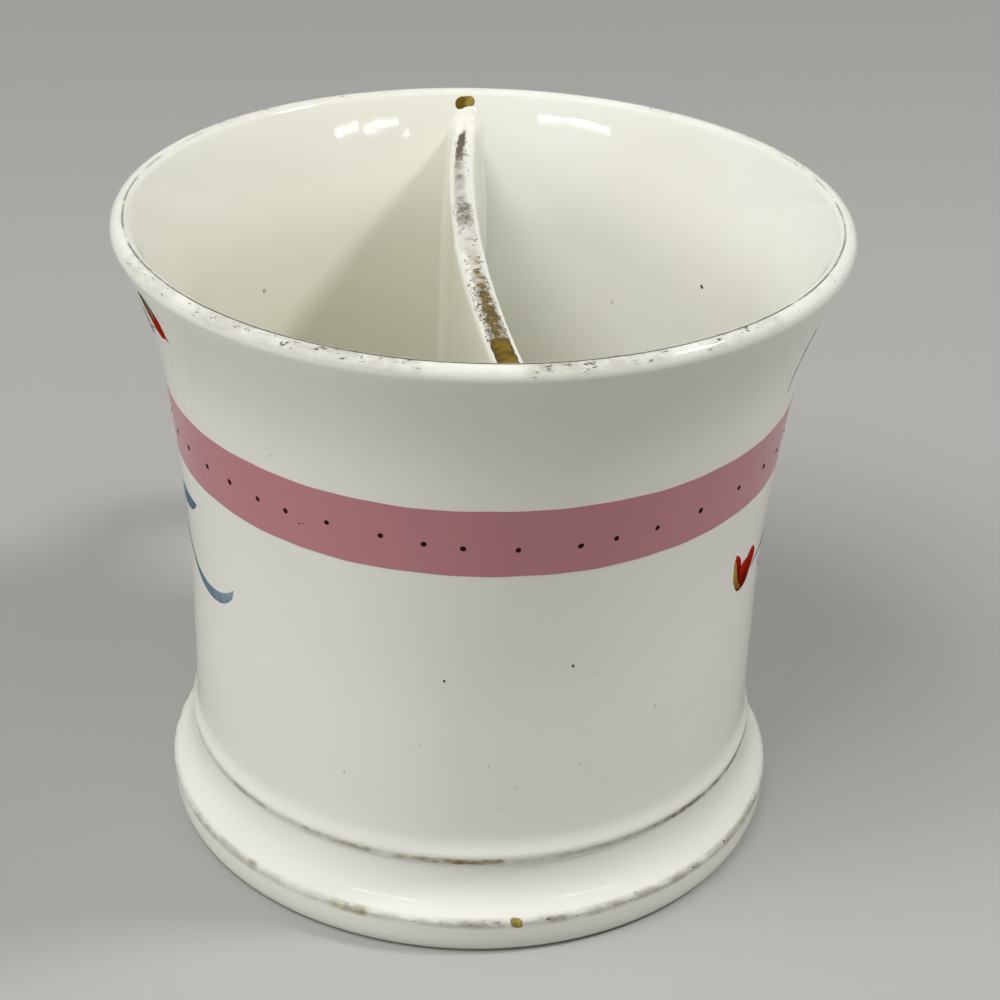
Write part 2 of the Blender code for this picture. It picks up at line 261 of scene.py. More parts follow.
gildFinish = {
    "gold": (0.215, 0.135, 0.007),
    "deepGold": (0.10, 0.056, 0.004),
    "yellowGold": (0.40, 0.36, 0.03),
    "olive": (0.27, 0.200, 0.062),
    "brown": (0.21, 0.170, 0.098),
    "soot": (0.05, 0.045, 0.031),
    "sootDepth": 0.9,
    "metallic": 0.3,
    "roughness": 0.45,
    "shine": 0.25,
    # noises along a line: waves per mm along and across it, layer, detail and roughness
    "cloudWaves": (0.5, 0.9, 1, 3.0, 0.6),
    "patchWaves": (0.9, 1.4, 2, 3.0, 0.55),
    "swayWaves": (0.1, 0.0, 1, 2.0, 0.5),
    "gapWaves": (0.22, 0.0, 1, 4.0, 0.65),
    "toneWaves": (0.8, 0.8, 1, 2.0, 0.5),
    "grainKind": (1, 4.0, 0.6),      # these two have waves of their own on each line
    "fleckKind": (1, 2.0, 0.5),
    # where a value starts and ends to tell
    "grainReach": (0.3, 0.7),
    "cloudReach": (0.25, 0.75),
    "threadReach": (0.015, 0.06),
    "patchReach": (0.72, 0.84),
    "goldenReach": (0.85, 1.0),
    "insideReach": (0.9, 2.2),
    "gapReach": (0.32, 0.52),
    "toneReach": (0.35, 0.65),
    "tarnishReach": (0.2, 1.0),
    "brightReach": (0.4, 0.9),
    # how much one value adds to another
    "keepGain": 1.2,
    "veilShare": (0.35, 1.1),        # how far a veil is even, and how far it comes in clouds
    "fleckGain": 0.5,
    "fleckCover": 0.8,
    "outlineGrain": 0.3,
    "outlineDepth": 0.8,
    "sway": 0.25,                    # mm
    "gapGain": 0.3,
    "lineCore": 0.4,                 # share of the dark line's half width at full strength
    "tarnishGain": 3,
    "tarnishTone": 0.6,
    "brightTone": 0.3,
}


def wornGilding(name, look):
    # what wear has left of a gilt line
    g = gildFinish
    material, shader, start = newMaterial(name)
    keep, veil, flecks, gold, along, across = (start.value(key) for key in gildNumbers)
    lay = start.node("CombineXYZ", None, {0: along, 1: across, 2: look["seed"]})

    def waves(lengthwise, crosswise, layer, detail, rough):
        return lay.stretched(lengthwise, crosswise, layer).noise(1.0, detail, rough)

    grain = waves(*look["grain"], *g["grainKind"]).between(*g["grainReach"])
    solid = (keep * g["keepGain"] - grain).between(0.0, look["softness"])
    even, clouded = g["veilShare"]
    thin = veil * (even + clouded * waves(*g["cloudWaves"]).between(*g["cloudReach"]))
    contour = waves(*look["fleckGrain"], *g["fleckKind"]).centred()
    threads = 1 - abs(contour).between(*g["threadReach"])
    patches = waves(*g["patchWaves"]) + g["fleckGain"] * flecks
    fleck = threads * patches.between(*g["patchReach"])
    cover = solid.most(thin, fleck * g["fleckCover"])
    inside = (keep - g["outlineGrain"] * grain).between(*g["insideReach"])
    outline = gold.between(*g["goldenReach"]) * (1 - inside)
    blackened = (0 - gold).between(0.0, 1.0)
    dark = fleck.most(blackened, outline * g["outlineDepth"])
    if "lineHalf" in look:
        line = start.value("line")
        off = across - g["sway"] * waves(*g["swayWaves"]).centred()
        gaps = waves(*g["gapWaves"]) + g["gapGain"] * line.centred()
        core = look["lineHalf"] * g["lineCore"]
        drawn = (1 - abs(off).between(core, look["lineHalf"])) * gaps.between(*g["gapReach"])
        cover = cover.most(drawn * line)
        dark = dark.most(drawn)
    tone = waves(*g["toneWaves"]).between(*g["toneReach"])
    deepest, brightest = look["golds"]
    bright = tone.tint(g[deepest], g[brightest])
    ageing = (gold * g["tarnishGain"] + g["tarnishTone"] * tone.centred()).between(*g["tarnishReach"])
    tarnish = ageing.tint(g["brown"], g["olive"])
    shining = (gold + g["brightTone"] * tone.centred()).between(*g["brightReach"])
    layer = shining.tint(tarnish, bright)
    feed(shader, Base_Color=(dark * g["sootDepth"]).tint(layer, g["soot"]), Alpha=cover)
    feed(shader, Metallic=g["metallic"], Roughness=g["roughness"], Specular_IOR_Level=g["shine"])
    return material


paintFinish = {
    "roughness": 0.3,
    "shine": 0.0,                    # fired on matt
    "mottleScale": 700.0,
    "mottleShare": 0.6,
    "lighterReach": (0.1, 1.0),      # along a stroke
}


def paint(name, deep, light):
    # hand-painted enamel: deeper where the brush set down, lighter where it lifted
    p = paintFinish
    material, shader, start = newMaterial(name)
    place = start.node("TexCoord", take="Object")
    mottle = place.noise(p["mottleScale"])
    mix = (start.value("along") + p["mottleShare"] * mottle.centred()).between(*p["lighterReach"])
    feed(shader, Base_Color=mix.tint(deep, light), Roughness=p["roughness"], Specular_IOR_Level=p["shine"])
    return material


glaze = porcelainGlaze()
print("finishes made")


# meshes

def held(value):
    return max(0.0, min(1.0, value))


def eased(t):
    return t * t * (3 - 2 * t)


def around(angle, radius, height):
    # a point by its angle from the mug's front, positive to the right
    return Vector((axisX + radius * math.sin(angle), axisY - radius * math.cos(angle), height))


unevenness = {
    # how far at the lip, how often in a turn and where it starts
    "oval": (0.14 * mm, 2, 0.7),
    "threeLobed": (0.06 * mm, 3, 0.0),
    "outOfLevel": (0.10 * mm, 2, 2.0),
}


def lobe(name, turn):
    reach, count, start = unevenness[name]
    return reach * math.sin(count * turn + start)


def uneven(point):
    # thrown by hand: a little out of round and out of level, more towards the lip
    turn = math.atan2(point.y - axisY, point.x - axisX)
    rise = point.z / mugHeight
    swell = rise * (lobe("oval", turn) + lobe("threeLobed", turn))
    lift = rise * lobe("outOfLevel", turn)
    return point + Vector((swell * math.cos(turn), swell * math.sin(turn), lift))


def piece(name, points, faces, material, values=None):
    mesh = bpy.data.meshes.new(name)
    mesh.from_pydata([uneven(p) for p in points], [], faces)
    mesh.materials.append(material)
    for key, numbers in (values or {}).items():
        layer = mesh.attributes.new(key, "FLOAT", "POINT")
        layer.data.foreach_set("value", numbers)
    mesh.shade_smooth()
    made = bpy.data.objects.new(name, mesh)
    scene.collection.objects.link(made)
    return made


def seat(made, slot, *nodes):
    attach(made, "root")
    if nodes:
        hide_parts(*nodes)


def gridFaces(rows, columns, closeRows=False, closeColumns=False, first=0):
    # quads over a grid of points stored row after row
    faces = []
    for i in range(rows if closeRows else rows - 1):
        for j in range(columns if closeColumns else columns - 1):
            down, across = (i + 1) % rows, (j + 1) % columns
            here, below = first + i * columns, first + down * columns
            faces.append((here + j, below + j, below + across, here + across))
    return faces


def tubeFaces(rows, columns):
    # a closed strip: rings joined in order, with both ends capped
    faces = gridFaces(rows, columns, closeColumns=True)
    faces.append(tuple(range(columns)))
    faces.append(tuple((rows - 1) * columns + k for k in reversed(range(columns))))
    return faces


# the turned body

mugForm = {
    "turnSteps": 224,
    "waistRadius": 39.5 * mm,
    "waistHeight": 34.0 * mm,
    "shoulderDrop": 17.7 * mm,
    "shoulderRadius": 42.5 * mm,
    "shoulderSlope": 0.15,
    "flareSlope": 0.45,
    "lipRoll": 1.4 * mm,
    "wall": 3.3 * mm,
    "floorHeight": 9.5 * mm,
    "floorCorner": 5.0 * mm,
    "ridgeHeight": 13.1 * mm,
    "ridgeRadius": 40.2 * mm,
    "ridgeFace": 1.6 * mm,
    "ridgeFillet": 3.0 * mm,
    "ridgeSlope": 0.55,
    "ridgeUndercut": 0.3 * mm,
    "footRadius": 43.3 * mm,
    "footEdge": 4.3 * mm,
    "footFace": 1.8 * mm,
    "footFlare": math.radians(38),
    "footInset": 1.6 * mm,
    "footRing": 5.5 * mm,
    "recess": 2.5 * mm,
    "recessDraft": 1.5 * mm,
    "coveHold": 0.5,
    "cornerHold": 2 / 3,
    "cornerSoftness": 0.22 * mm,
    "softReach": 3,                  # times the softness
    "fineStep": 0.1 * mm,
    "nearest": 0.02 * mm,            # points closer than this are one
    "fewestStraight": 2,
    "fewestCurved": 4,
    "keptTurn": math.radians(5),
    "keptLength": 2.6 * mm,
}

mug = mugForm
shoulderHeight = mugHeight - mug["shoulderDrop"]
lipTurn = math.atan(mug["flareSlope"])
lipCentre = Vector((lipRadius - mug["lipRoll"], mugHeight - mug["lipRoll"]))
lipSide = Vector((math.cos(lipTurn), -math.sin(lipTurn))) * mug["lipRoll"]
ridgeTop = mug["ridgeHeight"] + mug["ridgeFace"] / 2
ridgeLow = mug["ridgeHeight"] - mug["ridgeFace"] / 2
footTop = mug["footEdge"] + mug["footFace"] / 2
footLow = mug["footEdge"] - mug["footFace"] / 2
innerWaist = mug["waistRadius"] - mug["wall"]

# height, radius and outward run per unit of height
outerStations = [
    (ridgeTop, mug["ridgeRadius"], -mug["ridgeSlope"]),
    (ridgeTop + mug["ridgeFillet"], mug["waistRadius"], 0.0),
    (mug["waistHeight"], mug["waistRadius"], 0.0),
    (shoulderHeight, mug["shoulderRadius"], mug["shoulderSlope"]),
    ((lipCentre + lipSide).y, (lipCentre + lipSide).x, mug["flareSlope"]),
]
innerStations = [
    (mug["floorHeight"] + mug["floorCorner"], innerWaist, 0.0),
    (mug["waistHeight"], innerWaist, 0.0),
    (shoulderHeight, mug["shoulderRadius"] - mug["wall"], mug["shoulderSlope"]),
    ((lipCentre - lipSide).y, (lipCentre - lipSide).x, mug["flareSlope"]),
]


def wallRadius(stations, height):
    for low, high in zip(stations, stations[1:]):
        if height <= high[0]:
            break
    reach = high[0] - low[0]
    t = held((height - low[0]) / reach)
    hold = 2 * t**3 - 3 * t**2 + 1
    bend = low[2] * (t**3 - 2 * t**2 + t) + high[2] * (t**3 - t**2)
    return low[1] * hold + high[1] * (1 - hold) + bend * reach


def outerRadius(height):
    return wallRadius(outerStations, height)


def innerRadius(height):
    return wallRadius(innerStations, height)


def straightRun(start, end):
    steps = max(mug["fewestStraight"], round((end - start).length / mug["fineStep"]))
    return [start.lerp(end, i / steps) for i in range(steps + 1)]


def wallRun(stations, start, end):
    steps = max(mug["fewestStraight"], round(abs(end - start) / mug["fineStep"]))
    heights = [start + (end - start) * i / steps for i in range(steps + 1)]
    return [Vector((wallRadius(stations, z), z)) for z in heights]


def arcRun(centre, radius, start, end):
    steps = max(mug["fewestCurved"], round(abs(end - start) * radius / mug["fineStep"]))
    turns = [start + (end - start) * i / steps for i in range(steps + 1)]
    return [centre + Vector((math.cos(t), math.sin(t))) * radius for t in turns]


def bezierPoint(start, leave, arrive, end, t):
    s = 1 - t
    return start * s**3 + leave * (3 * s * s * t) + arrive * (3 * s * t * t) + end * t**3


def bezierWay(start, leave, arrive, end, t):
    s = 1 - t
    way = (leave - start) * (s * s) + (arrive - leave) * (2 * s * t) + (end - arrive) * (t * t)
    return way.normalized()


def bezierRun(start, leave, arrive, end):
    steps = max(mug["fewestCurved"], round((end - start).length / mug["fineStep"]))
    return [bezierPoint(start, leave, arrive, end, i / steps) for i in range(steps + 1)]


def insideRun():
    floor = Vector((innerWaist - mug["floorCorner"], mug["floorHeight"]))
    corner = floor + Vector((0, mug["floorCorner"]))
    run = straightRun(Vector((0, mug["floorHeight"])), floor)
    run += arcRun(corner, mug["floorCorner"], -math.pi / 2, 0)
    return run + wallRun(innerStations, innerStations[0][0], innerStations[-1][0])


def outsideRun():
    run = wallRun(outerStations, outerStations[-1][0], ridgeTop)
    run += straightRun(Vector((mug["ridgeRadius"], ridgeTop)), Vector((mug["ridgeRadius"], ridgeLow)))
    coveTop = Vector((mug["ridgeRadius"] - mug["ridgeUndercut"], ridgeLow))
    coveFoot = Vector((mug["footRadius"], footTop))
    coveHold = Vector((coveTop.x, ridgeLow - (ridgeLow - footTop) * mug["coveHold"]))
    reach = (coveFoot.x - coveTop.x) * mug["cornerHold"]
    flare = Vector((-reach, reach * math.tan(mug["footFlare"])))
    run += bezierRun(coveTop, coveHold, coveFoot + flare, coveFoot)
    edge = Vector((mug["footRadius"], footLow))
    edgeHold = Vector((edge.x, footLow * (1 - mug["cornerHold"])))
    ringOuter = Vector((mug["footRadius"] - mug["footInset"], 0))
    ringHold = ringOuter + Vector((mug["footInset"] * mug["cornerHold"], 0))
    run += straightRun(coveFoot, edge)
    run += bezierRun(edge, edgeHold, ringHold, ringOuter)
    ringInner = ringOuter - Vector((mug["footRing"], 0))
    recess = ringInner + Vector((-mug["recessDraft"], mug["recess"]))
    run += straightRun(ringOuter, ringInner)
    run += straightRun(ringInner, recess)
    return run + straightRun(recess, Vector((0, mug["recess"])))


def withoutRepeats(run):
    kept = [run[0]]
    for p in run[1:]:
        if (p - kept[-1]).length > mug["nearest"]:
            kept.append(p)
    return kept


def softened(run):
    # glaze rounds every corner: a running mean weighted by distance, with both ends held
    spread = mug["cornerSoftness"] / mug["fineStep"]
    reach = round(mug["softReach"] * spread)
    weights = [math.exp(-0.5 * (k / spread)**2) for k in range(-reach, reach + 1)]
    soft = list(run)
    for i in range(reach, len(run) - reach):
        total = Vector((0, 0))
        for p, w in zip(run[i - reach:i + reach + 1], weights):
            total += p * w
        soft[i] = total / sum(weights)
    return soft


def thinned(run):
    # points where the run bends, and a few along its straights
    kept, bend, length = [run[0]], 0.0, 0.0
    for before, here, after in zip(run, run[1:], run[2:]):
        bend += abs((here - before).angle_signed(after - here, 0.0))
        length += (here - before).length
        if bend > mug["keptTurn"] or length > mug["keptLength"]:
            kept.append(here)
            bend, length = 0.0, 0.0
    return kept + [run[-1]]


lipOver = arcRun(lipCentre, mug["lipRoll"], math.pi - lipTurn, -lipTurn)
profile = softened(withoutRepeats(insideRun() + lipOver + outsideRun()))
lipTop = max(range(len(profile)), key=lambda i: profile[i].y)
print("profile:", len(profile), "fine points,", len(thinned(profile)), "kept")


# the divider's bowed line in plan

dividerForm = {
    "thickness": 3.7 * mm,
    "spread": 0.4 * mm,              # thicker towards the floor
    "crestDrop": 4.5 * mm,
    "bow": 3.4 * mm,
    "turn": math.radians(5.55),
    "middleX": 1.5 * mm,
    "wallFillet": 2.0 * mm,
    "topFillet": 0.9 * mm,
    "filletDepth": 14 * mm,          # below the crest, where the joint with the wall is at its fullest
    "floorFillet": 4.5 * mm,
    "crestFillet": 3.0 * mm,
    "rampDrop": 0.75,                # share of the end ramp's rise that is lost at the crest's edges
    "rootDepth": 1.2 * mm,           # how far it runs into the wall and floor
    "lengthSteps": 150,
    # mm above the floor
    "footRows": [0.0, 0.04, 0.1, 0.2, 0.35, 0.6, 0.9, 1.3, 1.8, 2.5, 3.4, 4.6],
    "sideSteps": 22,
    "crestSteps": 20,
    "crestFlatness": 2.7,
    "evenShare": 0.2,                # how evenly its stations lie, the rest crowding to both ends
    "tableSteps": 160,
    "searchReach": 1.05,             # of the bow's half turn
    "halvings": 24,
}

slab = dividerForm
bowRadius = (lipRadius**2 + slab["bow"]**2) / (2 * slab["bow"])
bowHalf = math.asin(lipRadius / bowRadius)
crestHeight = mugHeight - slab["crestDrop"]
crestFlat = 2 / slab["crestFlatness"]
swing = Matrix.Rotation(slab["turn"], 2)


def dividerLine(turn):
    # point of the bowed centre line about the mug's axis, and the way to its right
    across = bowRadius * (math.cos(bowHalf) - math.cos(turn))
    along = bowRadius * math.sin(turn)
    spot = swing @ Vector((across, along)) + Vector((slab["middleX"], 0))
    return spot, swing @ Vector((math.cos(turn), -math.sin(turn)))


def lineMeets(radius, sign):
    # how far the line runs before it meets a circle about the axis
    low, high = 0.0, bowHalf * slab["searchReach"]
    for _ in range(slab["halvings"]):
        middle = (low + high) / 2
        if dividerLine(sign * middle)[0].length < radius:
            low = middle
        else:
            high = middle
    return sign * low


# where the line ends on a row of circles, as the search is slow
tableSteps = slab["tableSteps"]
tableReach = lipRadius - innerWaist
tableRadii = [innerWaist + tableReach * k / tableSteps for k in range(tableSteps + 1)]
lineEnds = [(lineMeets(r, -1), lineMeets(r, 1)) for r in tableRadii]


def dividerEnds(height):
    # the line's turns where it meets the inside of the wall, front and back
    place = (innerRadius(height) - innerWaist) / tableReach * tableSteps
    k = min(int(place), tableSteps - 1)
    (frontA, backA), (frontB, backB) = lineEnds[k], lineEnds[k + 1]
    return frontA + (frontB - frontA) * (place - k), backA + (backB - backA) * (place - k)


def leftOfDivider(east, north):
    # distance to the left of the divider's line, in plan about the mug's axis
    spot, right = dividerLine(math.asin(max(-1.0, min(1.0, north / bowRadius))))
    return (spot - Vector((east, north))).dot(right)


def fillet(radius, distance):
    if distance >= radius:
        return 0.0
    reach = radius - max(distance, 0.0)
    return radius - math.sqrt(radius**2 - reach**2)


def wallFilletAt(spot, outward, half, height):
    # how much the side swells to run into the wall, from the plain side's distance to it
    depth = held((crestHeight - height) / slab["filletDepth"])
    radius = slab["topFillet"] + (slab["wallFillet"] - slab["topFillet"]) * eased(depth)
    return fillet(radius, innerRadius(height) - (spot + outward * half).length)


def crestPoint(turn):
    # a place on the crest's rounded top, from its right edge at 0 to its left at half a turn
    across = math.cos(turn)
    return math.copysign(abs(across)**crestFlat, across), 1.0, abs(math.sin(turn))**crestFlat


def dividerSection():
    # walked from the left foot over the crest to the right foot:
    # side, share of the height and share of the crest's rise
    total = crestHeight - slab["thickness"] / 2 - mug["floorHeight"] + slab["rootDepth"]
    climb = [0.0] + [(slab["rootDepth"] + row * mm) / total for row in slab["footRows"]]
    first = climb[-1]
    climb += [first + (1 - first) * i / slab["sideSteps"] for i in range(1, slab["sideSteps"])]
    rows = [(-1.0, s, 0.0) for s in climb]
    for i in range(slab["crestSteps"] + 1):
        rows.append(crestPoint(math.pi * (1 - i / slab["crestSteps"])))
    return rows + [(1.0, s, 0.0) for s in reversed(climb)]


def dividerPoint(share, row, lift=0.0):
    # share runs from the front wall to the back wall
    side, climb, crest = row
    half = slab["thickness"] / 2
    root = slab["rootDepth"] / bowRadius
    front, back = dividerEnds(crestHeight)
    nearest = (min(share, 1 - share) * (back - front + 2 * root) - root) * bowRadius
    low = mug["floorHeight"] - slab["rootDepth"]
    ramp = fillet(slab["crestFillet"], nearest) * (1 - slab["rampDrop"] * side * side)
    top = crestHeight + ramp - half
    height = low + (top - low) * climb + (half + lift) * crest
    front, back = dividerEnds(height)
    turn = front - root + (back - front + 2 * root) * share
    spot, right = dividerLine(turn)
    half += slab["spread"] * (1 - climb) + fillet(slab["floorFillet"], height - mug["floorHeight"])
    outward = right if side > 0 else -right
    half += wallFilletAt(spot, outward, half, height)
    spot = spot + outward * (abs(side) * (half + lift))
    return Vector((axisX + spot.x, axisY + spot.y, height))


# the body's mesh, its stains and its painted shade

bodyLook = {
    # yellowing inside: real soap stain on the left, plus painted shade growing from the lip down
    "stainAndShadeTop": 86.0 * mm,
    "stainAndShadeFull": 60.0 * mm,
    "stainAndShadeLeast": 0.25,
    "leftStainAndShade": 1.0,
    "rightStainAndShade": 0.10,
    "crestStain": 0.15,
    "floorStainAndShade": 0.5,
    "footTint": 0.3,
}


def insideStainAndShade(point):
    # old soap and water yellow the left side, the right hardly; growing deeper down, it is partly painted
    # shade of the shadowed compartment
    b = bodyLook
    depth = held((b["stainAndShadeTop"] - point.z) / (b["stainAndShadeTop"] - b["stainAndShadeFull"]))
    left = leftOfDivider(point.x - axisX, point.y - axisY) > 0
    return b["leftStainAndShade" if left else "rightStainAndShade"] * (b["stainAndShadeLeast"] + (1 - b["stainAndShadeLeast"]) * depth)


def outsideTint(point):
    # darker and yellower below the foot's edge
    return bodyLook["footTint"] if point.z < mug["footEdge"] else 0.0


def dividerStainAndShade(row):
    # its left face takes the left side's stain and painted shade, its right face hardly any
    side, climb, _ = row
    if climb == 1.0:
        return bodyLook["crestStain"]
    return bodyLook["leftStainAndShade" if side < 0 else "rightStainAndShade"]


def makeBody():
    runIn = thinned(profile[:lipTop + 1])
    run = runIn + thinned(profile[lipTop:])[1:]
    steps = mug["turnSteps"]
    points = [Vector((axisX, axisY, run[0].y)), Vector((axisX, axisY, run[-1].y))]
    stainAndShadeValues = [bodyLook["floorStainAndShade"], 0.0]
    for i in range(steps):
        angle = 2 * math.pi * i / steps
        for j, p in enumerate(run[1:-1], 1):
            spot = around(angle, p.x, p.y)
            points.append(spot)
            stainAndShadeValues.append(insideStainAndShade(spot) if j < len(runIn) - 1 else outsideTint(spot))
    columns = len(run) - 2
    faces = gridFaces(steps, columns, closeRows=True, first=2)
    for i in range(steps):
        here = 2 + i * columns
        after = 2 + (i + 1) % steps * columns
        faces.append((0, after, here))
        faces.append((1, here + columns - 1, after + columns - 1))
    seat(piece("cupBody", points, faces, glaze, {"stainAndShade": stainAndShadeValues}), "porcelain", "cup_body")


def makeDivider():
    rows = dividerSection()
    steps, columns = slab["lengthSteps"], len(rows)
    points, stainAndShadeValues = [], []
    for i in range(steps + 1):
        even = i / steps
        crowded = (1 - math.cos(math.pi * even)) / 2
        share = crowded + (even - crowded) * slab["evenShare"]
        points += [dividerPoint(share, row) for row in rows]
        stainAndShadeValues += [dividerStainAndShade(row) for row in rows]
    faces = gridFaces(steps + 1, columns, closeColumns=True)
    last = steps * columns
    for k in range(columns // 2 - 1):
        # ends capped rung by rung, as they follow the wall's curve
        rung = (k, k + 1, columns - 2 - k, columns - 1 - k)
        faces.append(rung)
        faces.append(tuple(last + c for c in reversed(rung)))
    seat(piece("dividerWall", points, faces, glaze, {"stainAndShade": stainAndShadeValues}), "porcelain", "divider_wall")


makeBody()
print("body turned")
makeDivider()
print("divider set in")


# ear handle

handleForm = {
    "topDrop": 15.0 * mm,
    "lowHeight": 25.0 * mm,
    "bendHeight": 56.0 * mm,
    "fingerGap": 23.0 * mm,
    "width": 10.5 * mm,
    "depth": 7.5 * mm,
    "topWidth": 13.0 * mm,
    "lowWidth": 12.0 * mm,
    "root": 1.2 * mm,
    "topSlope": 0.25,
    "topHold": 0.7,
    "riseHold": 0.75,
    "fallHold": 0.55,
    "lowHold": 0.55,
    "jointFillet": 2.8 * mm,
    "lengthSteps": 80,
    "crowding": 1.6,                 # how much closer the stations lie at the joints
    "sides": 32,
    "squareness": 2.3,
}


def handlePath():
    # centre line in the plane through the mug's axis: distance from the axis, height
    h = handleForm
    topHeight = mugHeight - h["topDrop"]
    top = Vector((outerRadius(topHeight) - h["root"], topHeight))
    low = Vector((mug["waistRadius"] - h["root"], h["lowHeight"]))
    bend = Vector((mug["waistRadius"] + h["fingerGap"] + h["depth"] / 2, h["bendHeight"]))
    topHold = Vector((1, h["topSlope"])) * ((bend.x - top.x) * h["topHold"])
    rise = Vector((0, (top.y - bend.y) * h["riseHold"]))
    fall = Vector((0, (bend.y - low.y) * h["fallHold"]))
    lowHold = Vector(((bend.x - low.x) * h["lowHold"], 0))
    return (top, top + topHold, bend + rise, bend), (bend, bend - fall, low + lowHold, low)


def handleStations():
    h = handleForm
    upper, lower = handlePath()
    stations = []
    places = [(i / h["lengthSteps"])**h["crowding"] for i in range(h["lengthSteps"] + 1)]
    ends = [1 - t for t in reversed(places)]
    spans = [(upper, places, h["topWidth"], h["width"]), (lower, ends, h["width"], h["lowWidth"])]
    for span, run, first, last in spans:
        for t in run:
            width = first + (last - first) * eased(t)
            stations.append((bezierPoint(*span, t), bezierWay(*span, t), width))
    del stations[h["lengthSteps"]]   # the bend is in both spans
    return stations


def keptInWall(point):
    # a joint's end stops inside the wall
    flat = Vector((point.x - axisX, point.y - axisY))
    least = outerRadius(point.z) - mug["wall"] / 2
    if flat.length >= least:
        return point
    flat *= least / flat.length
    return Vector((axisX + flat.x, axisY + flat.y, point.z))


def superRound(value):
    return math.copysign(abs(value)**(2 / handleForm["squareness"]), value)


def makeHandle():
    h = handleForm
    points = []
    stations = handleStations()
    for spot, way, width in stations:
        halfWidth = width / 2
        halfDepth = h["depth"] / 2 * width / h["width"]
        out = Vector((-way.y, way.x))
        for k in range(h["sides"]):
            turn = 2 * math.pi * k / h["sides"]
            side, rise = superRound(math.cos(turn)), superRound(math.sin(turn))
            plain = spot + out * (halfDepth * rise)
            grow = fillet(h["jointFillet"], math.hypot(plain.x, halfWidth * side) - outerRadius(plain.y))
            reach = spot + out * ((halfDepth + grow) * rise)
            east = (halfWidth + grow) * side
            points.append(keptInWall(Vector((axisX + east, axisY + reach.x, reach.y))))
    faces = tubeFaces(len(stations), h["sides"])
    seat(piece("earHandle", points, faces, glaze, {"stainAndShade": [0.0] * len(points)}), "porcelain", "handle")


makeHandle()
print("handle joined on")


# layers fired on the glaze

layerForm = {
    "sink": 0.05 * mm,
    "gildLift": 0.02 * mm,
    "gildSteps": 720,
    "gildFade": 0.6,                 # degrees to each side in which a stretch of wear comes and goes
    "crestSink": 0.04 * mm,
}


def outwards(run):
    # the way out of the glaze, for a run walked down the outside
    outs = []
    for i in range(len(run)):
        way = run[min(i + 1, len(run) - 1)] - run[max(i - 1, 0)]
        outs.append(Vector((-way.y, way.x)).normalized())
    return outs


def layerRing(name, material, run, steps, lift, values):
    # a thin closed strip: run(angle) gives its points on the glaze, and each of values
    # a number at its points, from the angle and the share of the way across
    points, kept = [], {key: [] for key in values}
    for i in range(steps):
        angle = 2 * math.pi * i / steps
        if angle > math.pi:
            angle -= 2 * math.pi
        spots = run(angle)
        outs = outwards(spots)
        raised = [p + out * lift for p, out in zip(spots, outs)]
        sunk = [p - out * layerForm["sink"] for p, out in zip(spots, outs)]
        points += [around(angle, p.x, p.y) for p in raised + sunk[::-1]]
        for key, give in values.items():
            line = [give(angle, k / (len(spots) - 1)) for k in range(len(spots))]
            kept[key] += line + line[::-1]
    faces = gridFaces(steps, len(points) // steps, closeRows=True, closeColumns=True)
    return piece(name, points, faces, material, kept)


def evenly(stretch, points):
    # a few of the stretch's points, as even as they come
    return [stretch[round(k * (len(stretch) - 1) / (points - 1))] for k in range(points)]


bandForm = {
    "low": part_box("pink_band")[0].z,
    "top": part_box("pink_band")[1].z,
    "spill": 0.3 * mm,               # past the CAD band's edges
    "wavers": [(0.05 * mm, 7, 1.0), (0.035 * mm, 17, 2.3), (0.025 * mm, 41, 1.0)],   # reach, count, shift
    "topShift": 0.4,
    "lowShift": 2.1,
    "lift": 0.035 * mm,
    "rows": 14,
    "edge": 0.006,                   # share of its width in which an edge rounds over
    "steps": 420,
    "thin": 0.40,
    "fuller": 0.36,
    "overlapAt": -3.5,               # degrees from the front where one brush stroke starts over another
    "overlapBlur": 0.8,
    "backAt": 95.0,
    "backBlur": 4.0,
    "backLoss": 0.5,
    "edgePool": 0.14,                # paint that gathers along the edges
    "edgePower": 8,
    "swell": 0.05,
    "swells": 5,
}


def bandEdge(angle, shift):
    # the brush wavers as the wheel turns
    return sum(reach * math.sin(count * angle + part * shift) for reach, count, part in bandForm["wavers"])


def bandRun(angle):
    b = bandForm
    top = b["top"] + b["spill"] + bandEdge(angle, b["topShift"])
    low = b["low"] - b["spill"] + bandEdge(angle, b["lowShift"])
    shares = [k / b["rows"] for k in range(b["rows"] + 1)]
    shares[1:1] = [b["edge"]]
    shares[-1:-1] = [1 - b["edge"]]
    heights = [top + (low - top) * share for share in shares]
    return [Vector((outerRadius(z), z)) for z in heights]


def stepUp(value, place, blur):
    return 1 / (1 + math.exp(-(value - place) / blur))


def bandDensity(angle, share):
    # strokes overlap: a full stretch that starts abruptly in front, thinner round to the left
    b = bandForm
    turn = math.degrees(angle)
    kept = 1 - b["backLoss"] * stepUp(abs(turn), b["backAt"], b["backBlur"])
    full = stepUp(turn, b["overlapAt"], b["overlapBlur"]) * kept
    edge = b["edgePool"] * abs(2 * share - 1)**b["edgePower"]
    return b["thin"] + b["fuller"] * full + b["swell"] * math.sin(b["swells"] * angle) + edge


def makeBand():
    b = bandForm
    band = layerRing("pinkBand", pinkEnamel(), bandRun, b["steps"], b["lift"], {"density": bandDensity})
    seat(band, "pink_enamel", "pink_band")


makeBand()
print("band laid")


# small marks: dots, specks and brush strokes on the wall

patchForm = {
    # shares of the way out, and of the rise, at a low dome's shoulder and crown
    "shoulder": (0.8, 0.75),
    "crown": (0.4, 1.0),
}


def ovalOutline(size, squeeze, lean, sides):
    outline = []
    for k in range(sides):
        a = 2 * math.pi * k / sides
        u, v = size * math.cos(a), size * squeeze * math.sin(a)
        outline.append((u * math.cos(lean) - v * math.sin(lean), u * math.sin(lean) + v * math.cos(lean)))
    return outline


